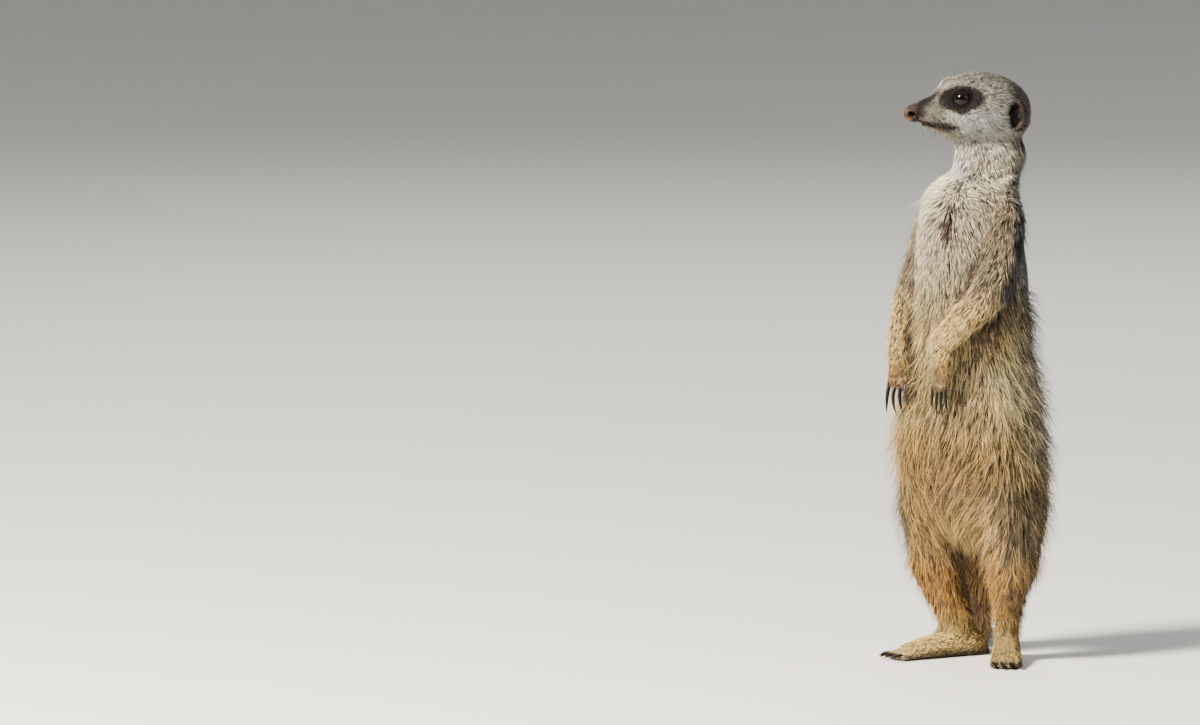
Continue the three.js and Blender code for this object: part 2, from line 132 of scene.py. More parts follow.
def linear(colour):
    """sRGB 0..255 as linear 0..1."""
    c = np.asarray(colour, dtype=float) / 255
    return np.where(c <= 0.04045, c / 12.92, ((c + 0.055) / 1.055) ** 2.4)


class Surface:
    """A triangle mesh as arrays, in metres."""

    def __init__(self, points, tris):
        self.points, self.tris = points, tris
        edges = np.concatenate([tris[:, [0, 1]], tris[:, [1, 2]], tris[:, [2, 0]]])
        self.edges = np.unique(np.sort(edges, axis=1), axis=0)
        self.valence = np.maximum(np.bincount(self.edges.ravel(), minlength=len(points)), 1)

    @classmethod
    def of(cls, mesh):
        mesh.calc_loop_triangles()
        points = np.empty(len(mesh.vertices) * 3, np.float32)
        tris = np.empty(len(mesh.loop_triangles) * 3, np.int32)
        mesh.vertices.foreach_get("co", points)
        mesh.loop_triangles.foreach_get("vertices", tris)
        return cls(points.reshape(-1, 3).astype(float), tris.reshape(-1, 3))

    def gathered(self, vertices, rows):
        """The sum of the rows that belong to each vertex."""
        return np.stack([np.bincount(vertices, column, len(self.points)) for column in rows.T], 1)

    def face_cross(self):
        """Each face's normal, twice its area long."""
        a, b, c = (self.points[self.tris[:, k]] for k in range(3))
        return np.cross(b - a, c - a)

    def normals(self):
        cross = self.face_cross()
        return unit(sum(self.gathered(self.tris[:, k], cross) for k in range(3)))

    def around(self, values):
        """The mean of each vertex's neighbours."""
        a, b = self.edges.T
        rows = values.reshape(len(self.points), -1)
        total = self.gathered(a, rows[b]) + self.gathered(b, rows[a])
        return (total / self.valence[:, None]).reshape(values.shape)

    def spacing(self):
        """Each vertex's mean distance to its neighbours, in millimetres."""
        a, b = self.edges.T
        length = size_of(self.points[a] - self.points[b])[:, None] / MM
        return (self.gathered(a, length) + self.gathered(b, length))[:, 0] / self.valence

    def softened(self, values, steps, share=0.5):
        for _ in range(steps):
            values = values + share * (self.around(values) - values)
        return values

    def push(self, distance):
        """Moves every vertex out along its normal, by millimetres."""
        self.points = self.points + MM * np.reshape(distance, (-1, 1)) * self.normals()


def mesh_of(name, points, tris):
    mesh = bpy.data.meshes.new(name)
    mesh.vertices.add(len(points))
    mesh.vertices.foreach_set("co", np.ascontiguousarray(points, np.float32).ravel())
    mesh.loops.add(tris.size)
    mesh.loops.foreach_set("vertex_index", np.ascontiguousarray(tris, np.int32).ravel())
    mesh.polygons.add(len(tris))
    mesh.polygons.foreach_set("loop_start", np.arange(0, tris.size, 3, dtype=np.int32))
    mesh.polygons.foreach_set("use_smooth", np.ones(len(tris), bool))
    mesh.update(calc_edges=True)
    mesh.validate()
    return mesh


def add_colours(mesh, colours):
    layer = mesh.color_attributes.new("fur", "FLOAT_COLOR", "POINT")
    rgba = np.column_stack([colours, np.ones(len(colours))])
    layer.data.foreach_set("color", rgba.astype(np.float32).ravel())


def add_numbers(mesh, name, values):
    layer = mesh.attributes.new(name, "FLOAT", "POINT")
    layer.data.foreach_set("value", values.astype(np.float32))


def add_uvs(mesh, uvs):
    vertices = np.empty(len(mesh.loops), np.int32)
    mesh.loops.foreach_get("vertex_index", vertices)
    layer = mesh.uv_layers.new(name="OFBake")
    layer.data.foreach_set("uv", uvs[vertices].astype(np.float32).ravel())


def linked(name, data):
    thing = bpy.data.objects.new(name, data)
    bpy.context.scene.collection.objects.link(thing)
    return thing


def add_piece(name, points, tris, material, slot, replaced=(), colours=None, uvs=None, **numbers):
    """A piece of the animal, with its values for each vertex and the CAD nodes that it stands for."""
    mesh = mesh_of(name, points, tris)
    mesh.materials.append(material)
    if colours is not None:
        add_colours(mesh, colours)
    if uvs is not None:
        add_uvs(mesh, uvs)
    for key, values in numbers.items():
        add_numbers(mesh, key, values)
    piece = linked(name, mesh)
    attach(piece, "root")
    if replaced:
        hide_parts(*replaced)


def with_modifier(piece, kind, **settings):
    """Adds a modifier, applies it, and gives the piece its result."""
    modifier = piece.modifiers.new(kind, kind)
    for key, value in settings.items():
        setattr(modifier, key, value)
    graph = bpy.context.evaluated_depsgraph_get()
    made = bpy.data.meshes.new_from_object(piece.evaluated_get(graph))
    piece.modifiers.clear()
    piece.data = made


def circle(sides):
    """Cosines and sines at even steps round a circle."""
    turn = np.linspace(0, 2 * math.pi, sides, endpoint=False)
    return np.cos(turn), np.sin(turn)


def loft(rings, ends=None):
    """Points and triangles over rings of points, closed by a point at each end."""
    count, sides, _ = rings.shape
    k, last = np.arange(sides), (count - 1) * sides
    after = (k + 1) % sides
    faces = []
    for low in range(0, last, sides):
        high = low + sides
        faces.append(np.stack([low + k, low + after, high + after], 1))
        faces.append(np.stack([low + k, high + after, high + k], 1))
    faces.append(np.stack([np.full(sides, last + sides), after, k], 1))
    faces.append(np.stack([np.full(sides, last + sides + 1), last + k, last + after], 1))
    ends = rings[[0, -1]].mean(1) if ends is None else ends
    return np.concatenate([rings.reshape(-1, 3), ends]), np.concatenate(faces)


def ball(rows=24):
    """A unit sphere's points and triangles."""
    polar = np.linspace(0, math.pi, rows + 1)[1:-1, None]
    cos, sin = circle(2 * rows)
    rings = np.broadcast_arrays(np.sin(polar) * cos, np.sin(polar) * sin, np.cos(polar))
    points, tris = loft(np.stack(rings, -1), [UP, -UP])
    return points, tris[:, ::-1]


def stacked(parts):
    """Several (points, tris) as one."""
    counts = np.cumsum([0] + [len(points) for points, _ in parts])
    points = np.concatenate([points for points, _ in parts])
    return points, np.concatenate([tris + count for (_, tris), count in zip(parts, counts)])


# ---- places from the CAD model

EYES_AHEAD, EYES_UP = 15.5, 4.9  # the eyes' place in the head's frame
HEAD_FOOT = -24  # how high the head ends in its own frame


def box_of(*names):
    lows, highs = zip(*(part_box(name) for name in names))
    return np.min(np.array(lows), axis=0), np.max(np.array(highs), axis=0)


def centre_of(*names):
    return sum(box_of(*names)) / 2


def claws_of(limb, side):
    return [f"claw_{limb}_{side}_{number}" for number in range(1, 5)]


def region_of(node):
    return node.removesuffix("_left").removesuffix("_right")


AXIS = np.array([centre_of("hips")[0], centre_of("belly")[1], 0.0])  # on the floor under the trunk
EYES = {side: centre_of(f"eye_{side}") for side in SIDES}
EYE_RADIUS = np.ptp(box_of("eye_left"), axis=0)[2] / 2
HEAD_LEFT = unit(EYES["left"] - EYES["right"])
HEAD_AHEAD = np.cross(HEAD_LEFT, UP)
HEAD_AXES = np.stack([HEAD_LEFT, HEAD_AHEAD, UP])
HEAD_AT = (EYES["left"] + EYES["right"]) / 2 - MM * (EYES_AHEAD * HEAD_AHEAD + EYES_UP * UP)
FLESH = [name for name in NODES if region_of(name) in REGIONS]
REGION_INDEX = np.array([REGION_NAMES.index(region_of(name)) for name in FLESH])


def in_body(points):
    return (points - AXIS) / MM


def in_head(points):
    return (points - HEAD_AT) @ HEAD_AXES.T / MM


def from_head(places):
    """Places in the head's frame, as points in metres."""
    return HEAD_AT + MM * np.array(places) @ HEAD_AXES


def node_surface(name):
    """A CAD node with its coincident points made one."""
    raw = Surface.of(NODES[name].data)
    keys = np.round(raw.points / (0.001 * MM)).astype(np.int64)
    _, first, inverse = np.unique(keys, axis=0, return_index=True, return_inverse=True)
    return Surface(raw.points[first], inverse.reshape(-1)[raw.tris])


def flesh_finder():
    """A function that gives the number of the flesh node nearest to each point."""
    surfaces = [Surface.of(NODES[name].data) for name in FLESH]
    points, tris = stacked([(surface.points, surface.tris) for surface in surfaces])
    tree = BVHTree.FromPolygons(points.tolist(), tris.tolist())
    owner = np.repeat(np.arange(len(FLESH)), [len(surface.tris) for surface in surfaces])
    return lambda points: owner[[tree.find_nearest(Vector(p))[2] for p in points]]


# ---- the skin

FUSE = 0.3  # each flesh node grows by this, which closes the gaps between nodes
VOXEL = 0.6
SMOOTHING_STEPS = 60
EAR_FILLING = (4.0, 5.2, 7.8)  # the radii, left, ahead and up, of a mound that thickens the ear's wall
FINE_REGIONS = ("head", "lower_jaw", "ear", "hand", "foot")
SKIN_TRIANGLES = 150_000
GROUP_LEVELS = 16


def fused_flesh():
    """The nodes of flesh as one closed surface, with the eye sockets and the ears' bowls filled."""
    parts = []
    for name in FLESH:
        node = node_surface(name)
        node.push(FUSE)
        parts.append((node.points, node.tris))
    points, tris = ball()
    for side in SIDES:
        parts.append((EYES[side] + (EYE_RADIUS + FUSE * MM) * points, tris))
        parts.append((centre_of(f"ear_{side}") + MM * (points * EAR_FILLING) @ HEAD_AXES, tris))
    piece = linked("flesh", mesh_of("flesh", *stacked(parts)))
    with_modifier(piece, "REMESH", mode="VOXEL", voxel_size=VOXEL * MM, adaptivity=0)
    return piece


def coarsen(piece, nearest):
    """Fewer triangles where the coat hides the skin."""
    skin = Surface.of(piece.data)
    is_fine = np.array([region_of(name) in FINE_REGIONS for name in FLESH], float)
    fine = skin.softened(is_fine[nearest(skin.points)], 6)
    levels = np.round((1 - 0.92 * rise(fine, 0.1, 0.6)) * GROUP_LEVELS).astype(int)
    group = piece.vertex_groups.new(name="coarse")
    for level in range(1, GROUP_LEVELS + 1):
        group.add(np.flatnonzero(levels == level).tolist(), level / GROUP_LEVELS, "REPLACE")
    ratio = min(1, SKIN_TRIANGLES / len(skin.tris))
    settings = {"vertex_group": "coarse", "vertex_group_factor": 1, "use_collapse_triangulate": True}
    with_modifier(piece, "DECIMATE", ratio=ratio, **settings)
    piece.vertex_groups.clear()


def shares(skin, labels, steps):
    """How much of each region every vertex belongs to, blended across the seams."""
    weights = np.zeros((len(skin.points), len(REGION_NAMES)))
    weights[np.arange(len(labels)), REGION_INDEX[labels]] = 1
    return skin.softened(weights, steps)


def smooth_and_sink(piece, nearest):
    """Takes the facets off the fused flesh, then moves it in by the depth of the coat."""
    skin = Surface.of(piece.data)
    region = shares(skin, nearest(skin.points), 12)
    strength = 2 * (region @ SMOOTHING) ** 2 / (SMOOTHING_STEPS * skin.spacing() ** 2)
    skin.points = skin.softened(skin.points, SMOOTHING_STEPS, np.clip(strength, 0, 0.6)[:, None])
    depth = skin.softened(region @ DEPTH, 10) + FUSE
    skin.points = skin.points - depth[:, None] * MM * unit(skin.softened(skin.normals(), 4))
    piece.data.vertices.foreach_set("co", skin.points.astype(np.float32).ravel())
    piece.data.update()


def refine(piece, chosen):
    """Splits the edges between chosen vertices."""
    work = bmesh.new()
    work.from_mesh(piece.data)
    work.verts.ensure_lookup_table()
    picked = {work.verts[i] for i in np.flatnonzero(chosen)}
    edges = [e for e in work.edges if e.verts[0] in picked and e.verts[1] in picked]
    bmesh.ops.subdivide_edges(work, edges=edges, cuts=1, use_grid_fill=True)
    bmesh.ops.triangulate(work, faces=work.faces)
    work.to_mesh(piece.data)
    work.free()


# ---- the face, the neck and the feet

GAZE = {"turn": 20, "up": 0.04}  # ahead of straight out
LID = {"half": 5.9, "top": 4.1, "bottom": 3.4, "tilt": 10, "roundness": 0.65}
LID_REFINING = ((10.5, 2.2), (9.5, 1.2))  # how far from the eye and from the lids' edge, in two passes
MOUTH = {"corner": 20.0, "front": 37.5, "corner_up": -10.6, "front_up": -8.4, "sag": 0.6}
NOSE_FROM = 38.3
EAR_HOLE = {"ahead": -11.2, "up": -3.4, "long": 4.6, "tall": 7.4, "deep": 4.2, "side": 12}
# Swellings and hollows of the face: left, ahead, up, reach, height
FACE_FORMS = [
    (6.5, 33, -6.5, 5.0, 0.7),
    (14, 26, 0.5, 5.0, -0.9),
    (15.5, 17, 12.5, 6.0, 0.9),
    (19.5, 12, -4.5, 6.5, 0.8),
    (0, 31, 6.0, 4.5, -0.4),
    (18, -4, 9, 6, -0.5),
    (5.5, 40.5, -7.0, 3.0, 0.3),
]
NECK_FOLDS = {"top": -17, "bottom": -42, "apart": 6.0, "slope": 0.55, "height": 0.75}
GROOVE = {"half": 0.9, "fades": 4, "length": 13, "past": 6, "reach": 20, "deep": 0.7}
SOLE_HEIGHT = 2.0
SKIN_CLEARANCE = 0.05


def eye_axes(side):
    """Unit vectors of an eye: its gaze, along the lids towards the nose, and up across them."""
    out = 1 if side == "left" else -1
    turn, tilt = math.radians(GAZE["turn"]), math.radians(LID["tilt"])
    gaze = unit(np.array([out * math.cos(turn), math.sin(turn), GAZE["up"]]) @ HEAD_AXES)
    level = -out * unit(np.cross(UP, gaze))
    along = math.cos(tilt) * level - math.sin(tilt) * UP
    return gaze, along, -out * unit(np.cross(gaze, along))


def lids_at(points):
    """By the nearer eye: distance outside the lids' opening, from the eye and ahead of it, and the eye."""
    found = []
    for side in SIDES:
        gaze, along, across = eye_axes(side)
        offset = (points - EYES[side]) / MM
        x, y = offset @ along, offset @ across
        share = np.clip(1 - (x / LID["half"]) ** 2, 0, 1) ** LID["roundness"]
        gap = np.where(y > 0, y - LID["top"] * share, -y - LID["bottom"] * share)
        past = np.abs(x) - LID["half"]
        gap = np.where(past > 0, np.hypot(past, y), gap)
        found.append((gap, size_of(offset), offset @ gaze))
    nearer = found[0][1] < found[1][1]
    gap, distance, ahead = (np.where(nearer, a, b) for a, b in zip(*found))
    return gap, distance, ahead, np.where(nearer[:, None], EYES["left"], EYES["right"])


def shape_lids(skin):
    """Lays the skin round each eyeball as two lids, and takes it inside the ball in the opening."""
    gap, distance, ahead, eye = lids_at(skin.points)
    rim = EYE_RADIUS / MM - 1.3 + 1.95 * rise(gap, -0.45, 0.1) - 0.25 * rise(gap, 0.4, 1.4)
    wanted = eye + (skin.points - eye) * (rim / np.maximum(distance, 0.1))[:, None]
    near = fall(gap, 0.9, 3.2) * rise(ahead, 0.0, 1.5) * fall(distance, 10, 12)
    skin.points = mix(skin.points, wanted, near)


def in_ear_hole(here):
    """1 in the middle of the dark hollow in front of each ear's wall, 0 outside it."""
    along = (here[:, 1] - EAR_HOLE["ahead"]) / EAR_HOLE["long"]
    up = (here[:, 2] - EAR_HOLE["up"]) / EAR_HOLE["tall"]
    return fall(np.hypot(along, up), 0.65, 1.1) * (np.abs(here[:, 0]) > EAR_HOLE["side"])


def mouth_height(ahead):
    """The mouth line's height at a distance ahead, sagging a little between its ends."""
    t = np.clip((ahead - MOUTH["corner"]) / (MOUTH["front"] - MOUTH["corner"]), 0, 1)
    line = MOUTH["corner_up"] + t * (MOUTH["front_up"] - MOUTH["corner_up"])
    return line - MOUTH["sag"] * np.sin(math.pi * t)


def shape_face(skin):
    """The soft forms of the muzzle, cheeks and brows, the mouth line with its lips, and the ear hollows."""
    here = in_head(skin.points)
    side, ahead, height = np.abs(here[:, 0]), here[:, 1], here[:, 2]
    move = -EAR_HOLE["deep"] * in_ear_hole(here)
    for left, along, up, reach, swell in FACE_FORMS:
        far = np.sqrt((side - left) ** 2 + (ahead - along) ** 2 + (height - up) ** 2)
        move += swell * bump(far, 0, reach)
    above = height - mouth_height(ahead)
    in_mouth = rise(ahead, MOUTH["corner"] - 0.5, MOUTH["corner"] + 3) * (ahead < NOSE_FROM + 1)
    lips = 0.35 * bump(above, 1.2, 1.3) + 0.15 * bump(above, -1.4, 1.2)
    skin.push(move + in_mouth * (lips - 0.85 * bump(above, 0, 0.8)))


def fold_neck(skin):
    """Slanting folds down the left side of the neck, where the head is turned away from it."""
    left, ahead, up = in_head(skin.points).T
    top, bottom = NECK_FOLDS["top"], NECK_FOLDS["bottom"]
    place = rise(left, 6, 13) * fall(up, top - 4, top) * rise(up, bottom, bottom + 6)
    wave = np.sin(2 * math.pi * (up + NECK_FOLDS["slope"] * ahead) / NECK_FOLDS["apart"])
    skin.push(NECK_FOLDS["height"] * place * wave)


def between_digits(points):
    """1 along the lines between neighbouring toes and between neighbouring fingers, 0 away from them."""
    line = np.zeros(len(points))
    for limb, side in LIMB_ENDS:
        claws = [centre_of(name) for name in claws_of(limb, side)]
        ahead = unit(np.mean(claws, axis=0) - centre_of(f"{limb}_{side}"))
        across = unit(claws[-1] - claws[0])
        for a, b in zip(claws, claws[1:]):
            offset = (points - (a + b) / 2) / MM
            back = -(offset @ ahead)
            near = (back > -GROOVE["past"]) & (size_of(offset) < GROOVE["reach"])
            groove = bump(offset @ across, 0, GROOVE["half"]) * fall(back, GROOVE["fades"], GROOVE["length"])
            line = np.maximum(line, groove * near)
    return line


def part_digits(skin):
    """Grooves between the toes and between the fingers."""
    skin.push(-GROOVE["deep"] * between_digits(skin.points))


def rest_on_floor(skin):
    """Flattens the soles on the floor."""
    height = skin.points[:, 2] / MM
    low = fall(height, 0.9, SOLE_HEIGHT) * (in_body(skin.points)[:, 1] < 30)
    height = height - low * np.maximum(height - SKIN_CLEARANCE, 0)
    skin.points[:, 2] = np.maximum(height, SKIN_CLEARANCE) * MM


def refine_face(piece):
    """Finer skin at the lids and along the mouth."""
    for reach, band in LID_REFINING:
        gap, distance, ahead, _ = lids_at(Surface.of(piece.data).points)
        refine(piece, (distance < reach) & (ahead > 0) & (np.abs(gap) < band))
    here = in_head(Surface.of(piece.data).points)
    near = np.abs(here[:, 2] - mouth_height(here[:, 1])) < 1.6
    refine(piece, near & (here[:, 1] > MOUTH["corner"] - 2) & (here[:, 1] < NOSE_FROM))


def make_skin(nearest):
    piece = fused_flesh()
    coarsen(piece, nearest)
    smooth_and_sink(piece, nearest)
    refine_face(piece)
    skin = Surface.of(piece.data)
    bpy.data.objects.remove(piece)
    for shape in (shape_face, fold_neck, part_digits, rest_on_floor, shape_lids):
        shape(skin)
    return skin


# ---- the lie of the coat

WHORL = (4, 240)  # x and height of the whorl on the chest
LOWER_BELLY = (105, 165)  # heights between which the hair turns in to the midline
# the pairs of nodes whose middles give the direction of the hair on the arms and the tail
LIMB_RUNS = {
    "tail_base": ("tail_base", "tail_middle"),
    "tail_middle": ("tail_base", "tail_tip"),
    "tail_tip": ("tail_middle", "tail_tip"),
    **{f"upper_arm_{side}": (f"upper_arm_{side}", f"forearm_{side}") for side in SIDES},
    **{f"forearm_{side}": (f"forearm_{side}", f"hand_{side}") for side in SIDES},
}


def limb_ways():
    """The direction of the hair on each limb and on the tail."""
    ways = {name: unit(centre_of(end) - centre_of(start)) for name, (start, end) in LIMB_RUNS.items()}
    for limb, side in LIMB_ENDS:
        way = centre_of(*claws_of(limb, side)) - centre_of(f"{limb}_{side}")
        ways[f"{limb}_{side}"] = unit(way * [1, 1, 0.4 if limb == "foot" else 1])
    return ways


def head_lie(here):
    """Back from the nose, then down the back of the head and the throat."""
    left, ahead, up = here.T
    down = 0.15 + 1.6 * fall(ahead, -20, -2) + 0.45 * fall(up, -12, -2)
    outward = 0.35 * np.tanh(left / 8) * rise(ahead, 20, 36)
    return np.stack([outward, -np.ones_like(left), -down], 1) @ HEAD_AXES


def trunk_lie(body):
    """Down the body, out from the whorl on the chest, and in to the midline of the lower belly."""
    x, y, z = body.T
    front = fall(y, -18, -2)
    dx, dz = x - WHORL[0], z - WHORL[1]
    near = np.exp(-((dx**2 + dz**2) / 18**2)) * front
    across = near * dx / 16 - np.tanh(x / 14) * front * fall(z, *LOWER_BELLY)
    return np.stack([across, np.full(len(x), 0.12), near * (dz / 16 + 0.3) - 1], 1)


def lie_of_coat(coat):
    """A unit vector along the skin at each vertex, the way its hair points."""
    ways = trunk_lie(coat.body)
    region = np.array([region_of(name) for name in FLESH])[coat.labels]
    on_head = np.isin(region, ("head", "lower_jaw"))
    ways[on_head] = head_lie(coat.here[on_head])
    ways[region == "ear"] = -HEAD_AHEAD - 0.35 * UP
    for name, way in limb_ways().items():
        ways[coat.labels == FLESH.index(name)] = way
    for _ in range(14):
        ways = coat.skin.softened(unit(ways), 1, 0.6)
        ways -= (ways * coat.normals).sum(1)[:, None] * coat.normals
    return unit(ways)


# ---- the coat's markings, with painted shade and painted light

# sRGB colours
EYE_PATCH = (36, 28, 22)
# the ear's dark skin together with painted shade in its hollow
EAR_INSIDE_AND_SHADE = (24, 18, 15)
EAR_SHADE = (84, 68, 54)
LIDS = (13, 11, 10)
BRIDGE = (42, 35, 29)
MUZZLE = (136, 130, 118)
CROWN = (194, 185, 171)
NAPE = (110, 103, 92)
FOREHEAD = (188, 180, 166)
BROW = (220, 216, 204)
CHEEK = (253, 251, 240)
LIPS = (50, 39, 31)
CHIN = (206, 200, 182)
THROAT = (250, 250, 244)
NECK_BAND = (122, 104, 84)
NECK_SIDE = (255, 244, 210)
WHORL_SPOT = (72, 50, 38)
# the upper back's darker fur, partly painted shade on the side turned from the light
UPPER_BACK_AND_SHADE = (64, 67, 74)
LOW_BACK = (146, 137, 120)
BAND = (44, 33, 25)
BELLY_SHADE = (138, 120, 94)
# painted light for the flank below the elbow
FLANK_LIGHT = (255, 238, 190)
LOWER_BELLY_FUR = (164, 126, 70)
GROIN = (255, 214, 116)
# painted shade for the inner thighs
INNER_THIGH_SHADE = (128, 92, 52)
# the outer thigh's darker grizzle, partly painted shade on the side turned from the light
OUTER_THIGH_AND_SHADE = (108, 94, 70)
# the shank's darker outer fur, partly painted shade
LEG_BACK_AND_SHADE = (116, 88, 48)
SOLE_SIDE = (140, 122, 96)
# painted shade for the curled fingers
DIGIT_SHADE = (120, 101, 78)
# painted shade for the grooves between the digits
DIGIT_GAP_SHADE = (60, 48, 36)
# painted shade for the folds between limbs and body
FOLD_SHADE = (84, 64, 42)
# painted shadow for the gap between the forearms and the body
CREASE_SHADOW = (46, 36, 26)
# painted highlight for the ridges of the forearms
RIDGE_HIGHLIGHT = (244, 222, 164)
PATCH = {"ahead": 17.0, "up": 5.0, "long": 11.7, "tall": 6.8, "tilt": -7}
PATCH_BULGE = (17.4, 1.4, 4.9)  # its middle, ahead and up, and its radius
BANDS_APART = 11.5
FOLD_STEPS = 70


def patchy(points, size, seed):
    """Smooth noise from about -1 to 1, with lumps of the given size in millimetres."""
    shift = Vector((seed * 7.3, seed * 3.1, seed * 5.7))
    return np.array([noise.noise(Vector(p) / (size * MM) + shift) for p in points]) * 1.6


def painted(colours, *layers):
    """The colours with layers laid over them in turn, each a colour and its weights."""
    for colour, weight in layers:
        colours = mix(colours, np.array(colour, float), np.clip(weight, 0, 1))
    return colours


def eye_patch(here):
    """Each vertex's share in the dark oval round the eye, with its bulge below, and in the brow above it."""
    ahead, up = here[:, 1] - PATCH["ahead"], here[:, 2] - PATCH["up"]
    tilt = math.radians(PATCH["tilt"])
    along = ahead * math.cos(tilt) + up * math.sin(tilt)
    above = up * math.cos(tilt) - ahead * math.sin(tilt)
    oval = np.hypot(along / PATCH["long"], above / PATCH["tall"])
    x, y, radius = PATCH_BULGE
    bulge = np.hypot(here[:, 1] - x, here[:, 2] - y) / radius
    brow = bump(oval, 1.2, 0.24) * rise(above, 2, 6) * (here[:, 1] > 6)
    return np.maximum(fall(oval, 0.86, 1.08), fall(bulge, 0.75, 1.2)), brow


def paint_head(colours, here, wobble):
    side, ahead, up = np.abs(here[:, 0]), here[:, 1], here[:, 2] + 1.2 * wobble
    mouth = here[:, 2] - mouth_height(ahead)
    patch, brow = eye_patch(here)
    return painted(
        colours,
        (FOREHEAD, rise(up, 8, 13) * rise(ahead, 6, 14)),
        (CROWN, rise(up, 9, 15) * fall(ahead, 2, 12)),
        (NAPE, fall(ahead, -15, -4) * rise(up, -14, -2)),
        (NAPE, fall(ahead, -22, -14)),
        (CHEEK, fall(up, -4, 2) * rise(up, -20, -13) * rise(ahead, -8, 2) * fall(ahead, 17, 27)),
        (MUZZLE, rise(ahead, 21, 28) * fall(up, 1, 7)),
        (BRIDGE, 0.95 * rise(ahead, 20, 29) * fall(side, 3.5, 7.5) * rise(up, -1, 2.5)),
        (BRIDGE, 0.9 * rise(ahead, 33, 38) * rise(up, -7.5, -4)),
        (CHIN, rise(ahead, 14, 22) * fall(mouth, -2, -0.5)),
        (LIPS, 1.5 * bump(mouth, 0.4, 2.2 + 1.3 * bump(ahead, 25, 8)) * rise(ahead, 16, 23)),
        # dark ear skin and painted shade in the ear hollow
        (EAR_INSIDE_AND_SHADE, 1.2 * in_ear_hole(here)),
        (BROW, 0.75 * brow),
        (EYE_PATCH, patch),
    )


def paint_trunk(colours, coat, wobble):
    (x, y, z), (nx, ny, _) = coat.body.T, coat.normals.T
    z = z + 4 * wobble
    back, front = rise(ny + 0.35 * np.abs(nx), 0.05, 0.75), fall(ny, -0.8, -0.1)
    upper = rise(z, 165, 215)
    bands = 0.5 + 0.5 * np.sin(2 * math.pi * (z + 3 * wobble + 0.015 * x**2) / BANDS_APART)
    spot = np.hypot((x - WHORL[0]) * 1.7, z - WHORL[1])
    colours = painted(
        colours,
        (LOW_BACK, 0.5 * flankward(coat.normals) * (1 - upper)),
        (LOW_BACK, 0.9 * back * (1 - upper)),
        # darker upper back, partly painted shade
        (UPPER_BACK_AND_SHADE, 0.95 * back * upper),
        (BAND, 0.92 * rise(bands, 0.4, 0.8) * rise(z, 72, 88) * fall(z, 178, 215) * rise(ny, 0.15, 0.75)),
    )
    return painted(
        paint_neck(colours, coat.here, back),
        (WHORL_SPOT, front * (0.3 * bump(spot, 0, 13) + 0.7 * bump(spot, 0, 7))),
        (BELLY_SHADE, 0.75 * front * bump(x - 0.25 * (z - 165), 18, 15) * bump(z, 160, 34)),
        # painted light on the flank below the elbow
        (FLANK_LIGHT, 0.75 * bump(z, 160, 42) * bump(x, 34, 18) * (1 - back)),
        (LOWER_BELLY_FUR, 0.8 * front * fall(z, 118, 160)),
    )


def paint_neck(colours, here, back):
    """A white throat under the chin, with a brown band behind it and pale fur on the side."""
    side, ahead, up = np.abs(here[:, 0]), here[:, 1], here[:, 2]
    on_neck = fall(up, -22, -14) * rise(up, -41, -29)
    forward = ahead + 0.15 * (up + 30)
    throat = on_neck * rise(forward, 8.5, 10.5)
    side_fur = fall(up, -33, -26) * on_neck * fall(forward, 8.5, 10.5) * rise(ahead, -14, -4)
    return painted(
        colours,
        (NECK_SIDE, 0.85 * side_fur * (1 - back)),
        (NECK_BAND, 0.5 * on_neck * bump(forward, 6.5, 3.5) * rise(side, 4, 8)),
        (EAR_SHADE, 0.75 * bump(ahead, -11.5, 3.5) * fall(up, -13, -8) * rise(up, -36, -26)),
        (THROAT, throat),
    )


def paint_limbs(colours, coat):
    (x, _, z), part = coat.body.T, coat.part
    outward = coat.normals[:, 0] * np.sign(x)
    flank = flankward(coat.normals)
    outer = np.maximum(rise(outward, 0.2, 0.9), flank)
    low = part("shank", "foot")
    shank, foot = (COLOUR[REGION_NAMES.index(name)] for name in ("shank", "foot"))
    leg_fur = mix(np.tile(shank, (len(z), 1)), foot, fall(z, 14, 38))
    inner = fall(outward, -1.0, -0.6) * rise(z, 40, 60) * fall(z, 80, 100)
    return painted(
        colours,
        (leg_fur, low),
        # painted shade where the thighs face each other
        (INNER_THIGH_SHADE, 0.8 * part("thigh", "shank") * inner),
        # darker outer thigh, partly painted shade
        (OUTER_THIGH_AND_SHADE, 0.85 * part("thigh") * outer * rise(z, 20, 60)),
        # darker outer shank, partly painted shade
        (LEG_BACK_AND_SHADE, 0.75 * low * outer * rise(z, 12, 36)),
        # darker shoulder fur, partly painted shade
        (UPPER_BACK_AND_SHADE, 0.9 * part("upper_arm") * rise(flank, 0.25, 0.8)),
        (LOW_BACK, 0.7 * part("forearm") * rise(coat.normals[:, 1], 0.1, 0.7) * rise(z, 150, 185)),
        (SOLE_SIDE, part("foot") * fall(z, 2, 6)),
    )


def paint_fold_shade_and_ridge_light(colours, coat):
    """Painted shade in the folds between limbs and body, a painted highlight along the forearms' ridges."""
    mean = coat.skin.softened(coat.skin.points, FOLD_STEPS, 0.6)
    fold = ((mean - coat.skin.points) * coat.normals).sum(1) / MM
    return painted(
        colours,
        # painted shade in the folds
        (FOLD_SHADE, 0.7 * (1 - coat.part("neck")) * rise(fold, 0.25, 1.3)),
        # painted highlight along the forearms' ridges
        (RIDGE_HIGHLIGHT, 0.6 * coat.part("forearm") * fall(fold, -2.2, -0.9)),
    )


